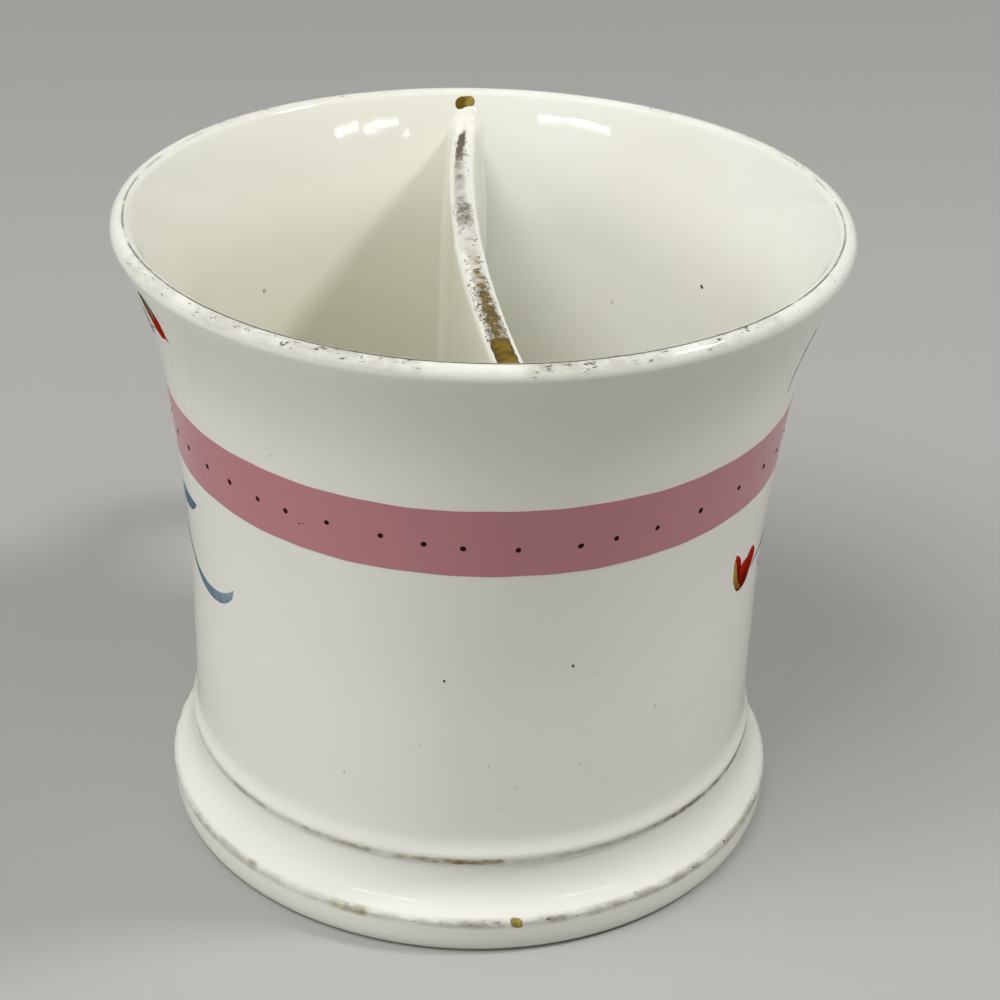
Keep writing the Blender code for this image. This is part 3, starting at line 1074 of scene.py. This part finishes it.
def surfacePatch(angle, height, outline, base, lift, inside=False):
    # a low dome of paint: its outline is in metres along and up the wall
    radiusAt, sign = (innerRadius, -1) if inside else (outerRadius, 1)
    rings = [(1.0, base)] + [(out, lift * rise) for out, rise in patchForm.values()]
    points = []
    for ring, level in rings:
        for u, v in outline:
            z = height + v * ring
            r = radiusAt(z)
            points.append(around(angle + sign * u * ring / r, r + sign * level, z))
    points.append(around(angle, radiusAt(height) + sign * lift, height))
    sides = len(outline)
    faces = gridFaces(len(rings), sides, closeColumns=True)
    middle = len(points) - 1
    inmost = middle - sides
    faces += [(inmost + k, middle, inmost + (k + 1) % sides) for k in range(sides)]
    faces.append(tuple(range(sides)))
    return points, faces


def gather(name, material, shapes, slot):
    # closed shapes as one piece: points, faces and the brush's place along each
    points, faces, along = [], [], []
    for spots, sides, places in shapes:
        first = len(points)
        points += spots
        faces += [tuple(first + k for k in face) for face in sides]
        along += places
    seat(piece(name, points, faces, material, {"along": along}), slot)


dotForm = {
    # degrees from the front and mm up, where the brush dotted the band
    "shown": [(-70.9, 61.1), (-63.4, 61.4), (-55.3, 61.5), (-48.0, 61.7), (-40.6, 61.5), (-34.2, 61.55),
              (-25.8, 61.85), (-16.0, 61.7), (-8.6, 61.3), (-2.0, 61.05), (7.2, 60.85), (18.0, 60.65),
              (24.5, 60.85), (32.6, 60.85), (42.4, 61.0), (53.2, 61.2), (62.9, 61.2)],
    "height": (60.7, 61.7),          # mm up, for those that follow round the back
    "size": (0.39 * mm, 0.45 * mm),
    "squeeze": (0.82, 1.0),
    "sides": 14,
    "tone": (0.0, 0.5),
    "lift": 0.09 * mm,
    "spacing": (6.5, 10.0),
    "seed": 7,
    "deep": (0.012, 0.008, 0.008),
    "light": (0.05, 0.02, 0.022),
}


def dotPlaces(rng):
    f = dotForm
    places = list(f["shown"])
    while places[-1][0] < 360 + places[0][0] - f["spacing"][1]:
        places.append((places[-1][0] + rng.uniform(*f["spacing"]), rng.uniform(*f["height"])))
    return places


def makeDots():
    f = dotForm
    rng = random.Random(f["seed"])
    shapes = []
    base = bandForm["lift"] / 2
    for turn, height in dotPlaces(rng):
        size, squeeze, lean = rng.uniform(*f["size"]), rng.uniform(*f["squeeze"]), rng.uniform(0, math.pi)
        outline = ovalOutline(size, squeeze, lean, f["sides"])
        points, faces = surfacePatch(math.radians(turn), height * mm, outline, base, f["lift"])
        shapes.append((points, faces, [rng.uniform(*f["tone"])] * len(points)))
    gather("bandDots", paint("dotBlack", f["deep"], f["light"]), shapes, "pink_enamel")


makeDots()
print("band dotted")

speckForm = {
    # degrees from the front, mm up, mm across, how pale, and whether it is on the inside
    "shown": [(-4.9, 40.8, 0.26, 0.1, False), (18.6, 42.3, 0.30, 0.3, False), (-36.2, 69.1, 0.16, 0.7, False),
              (126.3, 67.6, 0.42, 0.2, True), (149.4, 60.5, 0.30, 0.9, True), (-125.6, 65.2, 0.36, 0.7, True),
              (-24.1, 24.0, 0.14, 0.6, False), (5.8, 21.2, 0.13, 0.6, False), (37.2, 32.4, 0.16, 0.7, False),
              (23.6, 40.5, 0.12, 0.7, False), (8.7, 24.4, 0.13, 0.6, False), (21.4, 26.7, 0.13, 0.7, False),
              (-9.2, 30.6, 0.11, 0.8, False), (3.6, 27.9, 0.12, 0.6, False),
              (-148.0, 38.0, 0.3, 0.4, False), (158.0, 30.0, 0.25, 0.5, False),
              (-32.1, 60.65, 0.15, 0.35, False), (-31.4, 60.4, 0.20, 0.15, False),
              (-30.6, 60.6, 0.14, 0.3, False)],
    "squeeze": (0.6, 0.95),
    "sides": 10,
    "lift": 0.05 * mm,
    "deep": (0.05, 0.045, 0.035),
    "light": (0.46, 0.44, 0.36),
    "seed": 3,
}


def makeSpecks():
    f = speckForm
    rng = random.Random(f["seed"])
    shapes = []
    for turn, height, size, pale, inside in f["shown"]:
        squeeze, lean = rng.uniform(*f["squeeze"]), rng.uniform(0, math.pi)
        outline = ovalOutline(size * mm, squeeze, lean, f["sides"])
        points, faces = surfacePatch(math.radians(turn), height * mm, outline, -f["lift"], f["lift"], inside)
        shapes.append((points, faces, [pale] * len(points)))
    gather("glazeSpecks", paint("ironSpeck", f["deep"], f["light"]), shapes, "porcelain")


makeSpecks()
print("specks set")


# painted sprays at both sides, in brush strokes: width in mm, then degrees from the front and mm up

sprayForm = {
    "steps": 26,
    "lift": 0.055 * mm,
    "sink": 0.05 * mm,
    "over": {"blush": 1.5, "yellow": 1.5, "green": 1.7},   # strokes laid over others stand higher
    "section": [(-1.0, -0.4), (-0.75, 0.55), (-0.3, 0.95), (0.3, 0.95), (0.75, 0.55), (1.0, -0.4)],
    "thinnest": 0.02 * mm,
    "fullLiftFrom": 0.25 * mm,       # half width from which a stroke stands at its full height
    "leafTaper": 0.8,
    "budTaper": (0.5, 0.6, 2.13),    # powers at the start and at the end, and what makes the widest place 1
    "petalTaper": (0.7, 0.4, 1.92),
    "lineTaper": (6, 0.5),           # how soon a line is at its full width, and how roundly
}
paints = {
    "red": ((0.15, 0.006, 0.004), (0.40, 0.020, 0.006)),
    "blush": ((0.34, 0.06, 0.05), (0.55, 0.26, 0.24)),
    "blue": ((0.105, 0.155, 0.215), (0.235, 0.315, 0.375)),
    "yellow": ((0.22, 0.10, 0.012), (0.42, 0.30, 0.06)),
    "green": ((0.07, 0.10, 0.045), (0.20, 0.24, 0.10)),
    "stem": ((0.035, 0.032, 0.026), (0.10, 0.095, 0.078)),
}
strokes = {
    "red": [
        ("petal", 5.8, [(-62.6, 84.4), (-61.9, 82.4), (-61.7, 80.4), (-60.3, 78.3)]),
        ("leaf", 1.3, [(-61.4, 80.3), (-60.0, 79.3), (-58.6, 78.4)]),
        ("petal", 2.9, [(-97, 46), (-93, 49.5), (-90, 52.5)]),
        ("petal", 3.1, [(-98, 46), (-98, 50.5), (-97, 54.0)]),
        ("petal", 2.9, [(-99, 46), (-103, 49), (-107, 51)]),
        ("petal", 2.7, [(-99, 45), (-104, 43.5), (-108, 41)]),
        ("petal", 2.7, [(-97, 45), (-94, 41.5), (-92, 38.5)]),
        ("petal", 1.7, [(-120, 36), (-124, 38), (-128, 41)]),
        ("petal", 1.6, [(-92, 77), (-96, 79.5), (-99, 82.5)]),
        ("bud", 6.0, [(64.0, 42.3), (63.3, 44.6), (62.4, 46.8)]),
        ("leaf", 2.4, [(61.2, 44.2), (59.7, 46.7), (58.2, 49.1)]),
        ("petal", 4.2, [(62.8, 43.2), (65.4, 45.2), (68.3, 47.0)]),
        ("petal", 3.0, [(98, 46), (94, 49.5), (92, 53)]),
        ("petal", 3.1, [(99, 46), (101, 50), (102, 54)]),
        ("petal", 2.9, [(100, 45), (105, 47), (109, 49)]),
        ("petal", 2.7, [(99, 44.5), (103, 41.5), (106, 38.5)]),
        ("petal", 2.6, [(97.5, 45), (93.5, 43), (90, 40)]),
        ("petal", 1.7, [(122, 36), (126, 39), (129, 42.5)]),
    ],
    "blush": [
        ("petal", 1.3, [(-95, 47.5), (-93, 50), (-92, 51.5)]),
        ("petal", 1.3, [(-100, 48), (-102, 49.5), (-105, 50.5)]),
        ("petal", 1.3, [(100, 48), (101.5, 50.5), (102, 52.5)]),
        ("petal", 1.3, [(101, 45.5), (104, 46), (107, 47.5)]),
    ],
    "yellow": [
        ("leaf", 1.3, [(63.0, 42.3), (60.4, 43.8), (58.9, 46.0), (58.2, 48.3)]),
        ("leaf", 2.2, [(-99.5, 45.2), (-98, 45.9), (-96.5, 46.4)]),
        ("leaf", 2.2, [(97.4, 45.6), (99, 45.2), (100.4, 44.8)]),
    ],
    "blue": [
        ("leaf", 3.0, [(-64.8, 52.2), (-69, 51.1), (-75, 50.3), (-83, 48.8), (-90, 46.5)]),
        ("leaf", 1.9, [(-72, 41.9), (-68.0, 40.9), (-62.5, 40.3), (-57.0, 40.9), (-53.2, 42.4),
                       (-51.4, 44.0)]),
        ("leaf", 2.2, [(-89.3, 32.8), (-87.6, 29.5), (-85.5, 25)]),
        ("leaf", 2.6, [(-104, 37.1), (-112, 34.2), (-118, 29.5)]),
        ("leaf", 2.4, [(-110, 53), (-117, 54.5), (-123, 52)]),
        ("leaf", 2.2, [(-78, 73), (-83, 77), (-86, 82)]),
        ("leaf", 2.2, [(89.8, 33.6), (87.8, 30.5), (85.6, 26)]),
        ("leaf", 2.5, [(104, 37.2), (111, 33.8), (117, 28.5)]),
        ("leaf", 2.4, [(110, 52), (117, 54), (123, 52.5)]),
        ("leaf", 2.2, [(88, 50), (84, 53), (80, 54.8)]),
        ("leaf", 2.0, [(91.5, 70.9), (97, 75.5), (101, 81.5)]),
    ],
    "green": [
        # a dark green sepal over the red petal's top, partly painted shade of the lip above it
        ("leaf", 2.4, [(-62.6, 84.5), (-61.6, 83.0), (-60.9, 80.8)]),
        ("leaf", 2.0, [(-86.2, 29), (-93, 27), (-100, 22.5)]),
        ("leaf", 1.9, [(-70, 75.5), (-74, 79.5), (-75, 84)]),
        ("leaf", 1.9, [(86.2, 29), (92, 26.6), (99, 22)]),
        ("leaf", 1.8, [(81.6, 74.6), (84, 78.6), (84.4, 83.5)]),
    ],
    "stem": [
        ("line", 0.26, [(-80, 22), (-87, 30), (-93, 38), (-97, 45)]),
        ("line", 0.40, [(-94, 40), (-84, 43.0), (-76.1, 43.0), (-72.2, 42.2), (-67, 41.0)]),
        ("line", 0.22, [(-97, 44.5), (-93, 45.5), (-88, 47.2)]),
        ("line", 0.22, [(-93, 38), (-106, 37), (-120, 36)]),
        ("line", 0.20, [(-100, 48), (-106, 51), (-110, 53)]),
        ("line", 0.24, [(-96, 68.6), (-86, 71), (-74, 75.2), (-65, 78.4), (-58.4, 78.6)]),
        ("line", 0.20, [(-80, 72), (-87, 74), (-92, 77)]),
        ("line", 0.26, [(80, 22), (87, 30), (93, 38), (98, 45)]),
        ("line", 0.42, [(93, 41), (84, 43.8), (76, 44.5), (71.9, 44.5), (67.0, 43.9)]),
        ("line", 0.26, [(92, 39), (85, 39.6), (78, 40.4), (75.5, 42.6)]),
        ("line", 0.22, [(93, 38), (108, 37), (122, 36)]),
        ("line", 0.20, [(95, 42), (91, 46), (88, 50)]),
        ("line", 0.20, [(100, 48), (106, 50.5), (110, 52)]),
        ("line", 0.46, [(69.8, 80.4), (69.6, 77.6), (68.6, 75.2), (67.4, 72.8), (66.8, 70.6)]),
        ("line", 0.24, [(70.2, 78.4), (78, 76), (88, 72), (97, 69)]),
    ],
}


def smoothPath(knots, steps):
    # a curve through every knot
    padded = [2 * knots[0] - knots[1]] + knots + [2 * knots[-1] - knots[-2]]
    spans = len(knots) - 1
    path = []
    for i in range(steps + 1):
        place = i / steps * spans
        k = min(int(place), spans - 1)
        t = place - k
        a, b, c, e = padded[k:k + 4]
        slope, bend, twist = c - a, 2 * a - 5 * b + 4 * c - e, 3 * b - a - 3 * c + e
        path.append((2 * b + slope * t + bend * t**2 + twist * t**3) / 2)
    return path


def strokeWidth(kind, t):
    f = sprayForm
    if kind == "leaf":
        return math.sin(math.pi * t)**f["leafTaper"]
    if kind == "line":
        haste, power = f["lineTaper"]
        return min(1.0, haste * t, haste * (1 - t))**power
    first, last, full = f[kind + "Taper"]
    return full * t**first * (1 - t)**last


def strokeShape(kind, width, knots, over):
    f = sprayForm
    path = smoothPath([Vector((math.radians(a), z * mm)) for a, z in knots], f["steps"])
    points, along = [], []
    for i, spot in enumerate(path):
        t = i / f["steps"]
        before, after = path[max(i - 1, 0)], path[min(i + 1, f["steps"])]
        r = outerRadius(spot.y)
        way = Vector(((after.x - before.x) * r, after.y - before.y)).normalized()
        half = max(width * mm / 2 * strokeWidth(kind, t), f["thinnest"])
        swell = min(1.0, half / f["fullLiftFrom"])
        ring = [(s, level * f["lift"] * over * swell) for s, level in f["section"]]
        ring += [(s, -f["sink"]) for s, _ in reversed(f["section"])]
        for s, level in ring:
            z = spot.y + way.x * half * s
            wall = outerRadius(z)
            points.append(around(spot.x - way.y * half * s / wall, wall + level, z))
            along.append(t)
    return points, tubeFaces(f["steps"] + 1, len(ring)), along


def makeSprays():
    for name, (deep, light) in paints.items():
        over = sprayForm["over"].get(name, 1.0)
        shapes = [strokeShape(*stroke, over) for stroke in strokes[name]]
        gather(name + "Strokes", paint(name + "Paint", deep, light), shapes, "pink_enamel")


makeSprays()
print("sprays painted")


# worn gilding: what is left along each line

def stretchAt(angle, form):
    # solid share, veil, flecks and gold at an angle: each stretch gives them between two angles in degrees
    turn = math.degrees(angle)
    fade = layerForm["gildFade"]
    numbers = [0.0, *form["faintest"], 0.0]
    for start, end, *wanted in form["stretches"]:
        ease = held((min(turn - start, end - turn) + fade) / (2 * fade))
        numbers = [a + (b - a) * ease for a, b in zip(numbers, wanted)]
    return numbers


def gildRing(name, form, spots, node):
    def number(place):
        # one of a stretch's numbers, fading to nothing at the line's edges
        def give(angle, share):
            edge = max(0.0, 1 - ((share - form["centre"]) / form["half"])**2)
            return edge * stretchAt(angle, form)[place]
        return give

    def gold(angle, share):
        return stretchAt(angle, form)[-1]

    def along(angle, share):
        return angle * form["radius"] / mm

    def across(angle, share):
        # from the dark line's middle, which lies nearer the lip's top in front
        middle, sweep = form["lineAt"]
        return (share * form["width"] - middle - sweep * math.cos(angle)) / mm

    def line(angle, share):
        # the dark line is plain in front, thin at the sides and rubbed off at the back
        sides, swing, curve = form["lineCover"]
        facing = math.cos(angle)
        return sides + swing * facing + curve * facing**2

    values = dict(zip(gildNumbers, (number(0), number(1), number(2), gold, along, across)))
    if "lineCover" in form:
        values["line"] = line
    gilt = wornGilding(name + "Gold", form["look"])
    steps, lift = layerForm["gildSteps"], layerForm["gildLift"]
    seat(layerRing(name, gilt, lambda angle: spots, steps, lift, values), "gilding", node)


rimGild = {
    "inner": 1.2 * mm,
    "outer": 2.2 * mm,
    "width": 3.4 * mm,
    "radius": 46.0 * mm,
    "points": 20,
    "centre": 0.5,
    "half": 0.52,
    "lineAt": (0.85 * mm, 0.23 * mm),
    "lineCover": (0.36, 0.40, 0.12),
    "faintest": (0.05, 0.15),
    # degrees from and to, then solid, veil, flecks and gold
    "stretches": [(-66, -50, 0.0, 0.13, 0.34, 0.0), (-45, -8, 0.0, 0.18, 0.42, 0.1),
                  (6, 27, 0.0, 0.2, 0.52, 0.1), (33, 48, 0.0, 0.13, 0.45, 0.0),
                  (105, 150, 0.0, 0.1, 0.4, 0.1), (-165, -120, 0.0, 0.1, 0.4, 0.1)],
    "look": {"seed": 1.3, "grain": (0.8, 1.6), "softness": 0.5, "fleckGrain": (0.7, 2.2),
             "lineHalf": 0.19, "golds": ("deepGold", "gold")},
}


def overLip(form):
    first = lipTop - round(form["inner"] / mug["fineStep"])
    last = lipTop + round(form["outer"] / mug["fineStep"])
    return evenly(profile[first:last + 1], form["points"])


def downOutside(form):
    # the outer side of the profile between two heights
    first = next(i for i in range(lipTop, len(profile)) if profile[i].y <= form["top"])
    last = next(i for i in range(first, len(profile)) if profile[i].y <= form["low"])
    return evenly(profile[first:last + 1], form["points"])


ridgeGild = {
    "low": 12.3 * mm,
    "top": 13.9 * mm,
    "width": 1.6 * mm,
    "radius": 40.2 * mm,
    "points": 13,
    "centre": 0.52,
    "half": 0.36,
    "lineAt": (0.0, 0.0),
    "faintest": (0.16, 0.18),
    "stretches": [(-53, -42.5, 0.05, 0.32, 0.3, 0.16), (-33, -29, 0.1, 0.36, 0.2, 0.36),
                  (-27.5, -18.5, 0.2, 0.42, 0.3, 0.34), (-14, -6, 0.15, 0.42, 0.2, 0.46),
                  (-6, 7, 0.46, 0.66, 0.0, 0.78), (9, 18, 0.0, 0.2, 0.25, 0.0),
                  (18, 27, 0.0, 0.27, 0.3, 0.0), (27, 38, 0.05, 0.33, 0.35, 0.0),
                  (38, 43, 0.1, 0.48, 0.4, 0.0), (43, 52, 0.15, 0.60, 0.3, 0.0),
                  (52, 57, 0.1, 0.44, 0.3, 0.0), (57, 80, 0.15, 0.60, 0.3, 0.0),
                  (95, 130, 0.3, 0.45, 0.4, 0.2), (150, 175, 0.4, 0.45, 0.3, 0.4),
                  (-150, -95, 0.3, 0.45, 0.4, 0.2)],
    "look": {"seed": 4.1, "grain": (0.6, 1.0), "softness": 1.0, "fleckGrain": (1.8, 1.8),
             "golds": ("olive", "gold")},
}

footGild = {
    "low": 3.6 * mm,
    "top": 5.9 * mm,
    "width": 2.6 * mm,
    "radius": 43.3 * mm,
    "points": 15,
    "centre": 0.42,
    "half": 0.34,
    "lineAt": (0.0, 0.0),
    "faintest": (0.16, 0.22),
    "stretches": [(-62, -44, 0.0, 0.27, 0.35, 0.0), (-43, -41, 0.1, 0.4, 0.3, 0.4),
                  (-24, -17.5, 0.15, 0.5, 0.3, 0.56), (-5, 7, 0.0, 0.3, 0.35, 0.0),
                  (8.1, 9.9, 1.9, 0.15, 0.0, 0.84), (13, 18, 0.0, 0.34, 0.4, 0.0),
                  (21, 48, 0.0, 0.32, 0.42, 0.0), (50, 72, 0.0, 0.33, 0.4, 0.0),
                  (100, 150, 0.2, 0.4, 0.4, 0.2), (-140, -90, 0.2, 0.4, 0.4, 0.2)],
    "look": {"seed": 7.7, "grain": (0.7, 0.8), "softness": 1.0, "fleckGrain": (1.6, 1.6),
             "golds": ("olive", "yellowGold")},
}

gildRing("rimGilding", rimGild, overLip(rimGild), "rim_gilding")
gildRing("ridgeGilding", ridgeGild, downOutside(ridgeGild), "ridge_gilding")
gildRing("footGilding", footGild, downOutside(footGild), "foot_gilding")
print("rim, ridge and foot gilded")

crestGild = {
    "width": 0.80,                   # share of the crest's half turn that was gilded
    "lengthSteps": 300,
    "acrossSteps": 14,
    # mm back from the mug's axis, the line's middle and half width as shares of its whole width,
    # then solid, veil, flecks and gold
    "worn": [(-41.8, 0.42, 0.26, 0.0, 0.0, 0.2, 1.0), (-40.8, 0.41, 0.28, 4.0, 0.0, 0.0, 1.0),
             (-31.2, 0.41, 0.27, 3.6, 0.0, 0.2, 1.0), (-30.2, 0.46, 0.26, 1.0, 0.50, 0.9, 0.7),
             (-24.0, 0.48, 0.22, 1.1, 0.48, 0.9, 0.72), (-18.0, 0.50, 0.19, 1.0, 0.44, 0.8, 0.7),
             (-14.0, 0.51, 0.17, 0.8, 0.40, 0.7, 0.62), (-10.0, 0.51, 0.15, 0.6, 0.32, 0.5, 0.5),
             (-6.0, 0.49, 0.15, 0.4, 0.2, 0.45, 0.4), (-2.0, 0.46, 0.34, 0.1, 0.16, 0.42, 0.1),
             (4.0, 0.45, 0.30, 0.15, 0.16, 0.42, 0.1), (5.5, 0.46, 0.22, 0.45, 0.50, 0.7, 0.05),
             (12.0, 0.46, 0.22, 0.45, 0.50, 0.7, 0.05), (13.5, 0.42, 0.17, 0.0, 0.40, 0.3, 0.0),
             (26.0, 0.42, 0.16, 0.0, 0.46, 0.25, 0.0), (28.5, 0.41, 0.13, 1.0, 0.55, 0.5, -0.3),
             (37.0, 0.46, 0.11, 1.8, 0.55, 0.4, -0.62), (40.4, 0.50, 0.06, 0.8, 0.3, 0.2, -0.6),
             (41.0, 0.50, 0.06, 0.0, 0.1, 0.0, 0.0), (44.0, 0.50, 0.12, 0.0, 0.0, 0.0, 0.0)],
    "flecksAt": (0.43, 0.36, 4),     # middle, half width and how squarely they end
    "look": {"seed": 2.9, "grain": (0.7, 1.6), "softness": 0.8, "fleckGrain": (1.5, 1.9),
             "golds": ("deepGold", "gold")},
}


def alongList(stops, place):
    for low, high in zip(stops, stops[1:]):
        if place <= high[0]:
            t = max(0.0, (place - low[0]) / (high[0] - low[0]))
            return [a + (b - a) * t for a, b in zip(low[1:], high[1:])]
    return list(stops[-1][1:])


def crestRow(share):
    # a place across the gilded part of the crest
    return crestPoint(math.pi * (0.5 + crestGild["width"] * (0.5 - share)))


def makeCrestGilding():
    g = crestGild
    shares = [k / g["acrossSteps"] for k in range(g["acrossSteps"] + 1)]
    lift, sink = layerForm["gildLift"], layerForm["crestSink"]
    fleckMiddle, fleckHalf, fleckPower = g["flecksAt"]
    points, values = [], {key: [] for key in gildNumbers}
    for i in range(g["lengthSteps"] + 1):
        place = i / g["lengthSteps"]
        top = [dividerPoint(place, crestRow(s), lift) for s in shares]
        points += top + [dividerPoint(place, crestRow(s), -sink) for s in reversed(shares)]
        length = (top[len(top) // 2].y - axisY) / mm
        middle, half, solid, veil, flecks, gold = alongList(g["worn"], length)
        edge = [max(0.0, 1 - ((s - middle) / half)**2) for s in shares]
        spread = [max(0.0, 1 - ((s - fleckMiddle) / fleckHalf)**fleckPower) for s in shares]
        rows = {
            "keep": [solid * e for e in edge],
            "veil": [veil * e for e in edge],
            "flecks": [flecks * e for e in spread],
            "gold": [gold] * len(shares),
            "along": [length] * len(shares),
            "across": [s * slab["thickness"] / mm for s in shares],
        }
        for key, numbers in rows.items():
            values[key] += numbers + numbers[::-1]
    faces = tubeFaces(g["lengthSteps"] + 1, 2 * len(shares))
    strip = piece("crestGilding", points, faces, wornGilding("crestGold", g["look"]), values)
    seat(strip, "gilding", "crest_gilding")


makeCrestGilding()

blobForm = {
    "turn": -175.9,
    "height": 86.6 * mm,
    "size": 1.15 * mm,
    "sides": 28,
    "lobes": [(0.28, 2, 0.5), (-0.16, 1, 0.4)],   # how far its outline swells, how often and where
    "lift": 0.16 * mm,
    "middleTone": 0.6,
    "deep": (0.13, 0.075, 0.012),
    "light": (0.30, 0.22, 0.05),
}


def makeGoldBlob():
    # the crest's line ended in a blob where the divider meets the lip
    f = blobForm
    outline = []
    for k in range(f["sides"]):
        a = 2 * math.pi * k / f["sides"]
        swell = sum(size * math.cos(count * a - start) for size, count, start in f["lobes"])
        reach = f["size"] * (1 + swell)
        outline.append((reach * math.cos(a), reach * math.sin(a)))
    points, faces = surfacePatch(math.radians(f["turn"]), f["height"], outline, 0.0, f["lift"], True)
    tones = [(1 + math.cos(2 * math.pi * k / f["sides"])) / 2 for k in range(f["sides"])]
    tones = tones * (len(points) // f["sides"]) + [f["middleTone"]]
    gather("goldBlob", paint("blobGold", f["deep"], f["light"]), [(points, faces, tones)], "gilding")


makeGoldBlob()
print("crest gilded")


# stage, light and camera

stageLook = {
    "floor": (0.40, 0.395, 0.38),
    "floorShade": 0.97,              # how dark its faint clouds are
    "floorScale": 6.0,
    "floorRoughness": 0.8,
    "reach": 12.0,
    "far": (0.40, 0.395, 0.38),
    "farFrom": 0.3,
    "farFull": 0.95,
    "ambient": 0.2,
    "ambientColour": (1.0, 0.995, 0.98),
}


def seenDirectly(start):
    # 1 for rays from the camera, and for those mirrored or let through by the object
    rays = ("Is Camera Ray", "Is Glossy Ray", "Is Transmission Ray")
    camera, *others = (start.node("LightPath", take=name) for name in rays)
    return camera.most(*others)


def makeFloor():
    # lit and shadowed round the object, an even pale backdrop farther off
    material, shader, start = newMaterial("paleFloor")
    place = start.node("TexCoord", take="Object")
    s = stageLook
    low = tuple(s["floorShade"] * c for c in s["floor"])
    clouds = place.noise(s["floorScale"])
    feed(shader, Base_Color=clouds.tint(low, s["floor"]), Roughness=s["floorRoughness"])
    distance = start.node("VectorMath", {"operation": "LENGTH"}, {0: place}, "Value")
    share = distance.between(s["farFrom"], s["farFull"]) * seenDirectly(start)
    backdrop = start.node("Emission", None, {"Color": colour(s["far"])})
    both = start.node("MixShader", None, {0: share, 1: Wire(start.tree, shader.outputs[0]), 2: backdrop})
    end = material.node_tree.nodes["Material Output"]
    material.node_tree.links.new(both.socket, end.inputs["Surface"])
    reach = s["reach"]
    corners = [(-reach, -reach, 0), (reach, -reach, 0), (reach, reach, 0), (-reach, reach, 0)]
    mesh = bpy.data.meshes.new("floor")
    mesh.from_pydata(corners, [], [(0, 1, 2, 3)])
    mesh.materials.append(material)
    floor = bpy.data.objects.new("floor", mesh)
    scene.collection.objects.link(floor)


def makeWorld():
    world = bpy.data.worlds.new("studio")
    scene.world = world
    world.use_nodes = True
    start = Wire(world.node_tree)
    shown = seenDirectly(start)
    ambient = tuple(c * stageLook["ambient"] for c in stageLook["ambientColour"])
    back = world.node_tree.nodes["Background"]
    world.node_tree.links.new(shown.tint(ambient, stageLook["far"]).socket, back.inputs["Color"])


lamps = {
    # degrees round from the front, up and of tilt, then distance, width and height in metres,
    # watts, and whether the glaze mirrors it
    "key": (88, 50, 0, 1.0, 0.14, 0.14, 4.3, True),
    "rightSoft": (60, 55, 0, 0.9, 0.6, 0.6, 0.9, False),
    "leftLow": (-75, 22, 0, 1.0, 0.6, 0.5, 2.8, False),
    "frontLeft": (-45, 60, 0, 1.0, 0.6, 0.5, 6.2, False),
    "rightPaneA": (53.3, 27.1, -14, 1.08, 0.146, 0.013, 0.078, True),
    "rightPaneB": (40.6, 29.0, -11, 1.08, 0.209, 0.014, 0.115, True),
    "rightPaneC": (31.2, 28.7, -12, 1.08, 0.04, 0.012, 0.02, True),
    "leftPaneA": (-22.9, 31.7, 5, 1.08, 0.141, 0.012, 0.08, True),
    "leftPaneB": (-37.4, 30.1, 10, 1.08, 0.276, 0.013, 0.14, True),
}


def makeLamps():
    middle = Vector((axisX, axisY, mugHeight / 2))
    for name, (turn, up, tilt, distance, width, height, watts, mirrored) in lamps.items():
        light = bpy.data.lights.new(name, "AREA")
        light.shape = "RECTANGLE"
        light.size = width
        light.size_y = height
        light.energy = watts
        lamp = bpy.data.objects.new(name, light)
        scene.collection.objects.link(lamp)
        a, e = math.radians(turn), math.radians(up)
        way = Vector((math.sin(a) * math.cos(e), -math.cos(a) * math.cos(e), math.sin(e)))
        lamp.location = middle + way * distance
        facing = way.to_track_quat("Z", "Y").to_matrix()
        lamp.rotation_euler = (facing @ Matrix.Rotation(math.radians(tilt), 3, "Z")).to_euler()
        lamp.visible_glossy = mirrored


cameraFit = {
    # worked out from the circles of the lip, band and foot in the photograph
    "focal": 2218.0,                 # pixels, for a picture 1000 wide
    "picture": 1000.0,
    "sensor": 36.0,
    "back": 268.82 * mm,
    "up": 195.95 * mm,
    "yaw": 0.0121,
    "pitch": 0.51275,
    "roll": 0.03444,
    "nearest": 10 * mm,
}


def makeCamera():
    c = cameraFit
    data = bpy.data.cameras.new("camera")
    data.sensor_width = c["sensor"]
    data.lens = c["sensor"] * c["focal"] / c["picture"]
    data.clip_start = c["nearest"]
    camera = bpy.data.objects.new("camera", data)
    scene.collection.objects.link(camera)
    level = math.cos(c["pitch"])
    ahead = Vector((math.sin(c["yaw"]) * level, math.cos(c["yaw"]) * level, -math.sin(c["pitch"])))
    side = Vector((math.cos(c["yaw"]), -math.sin(c["yaw"]), 0))
    lift = side.cross(ahead)
    right = side * math.cos(c["roll"]) + lift * math.sin(c["roll"])
    up = lift * math.cos(c["roll"]) - side * math.sin(c["roll"])
    spot = Vector((axisX, axisY - c["back"], c["up"]))
    camera.matrix_world = Matrix.Translation(spot) @ Matrix((right, up, -ahead)).transposed().to_4x4()
    scene.camera = camera


makeFloor()
makeWorld()
makeLamps()
makeCamera()
print("stage lit")
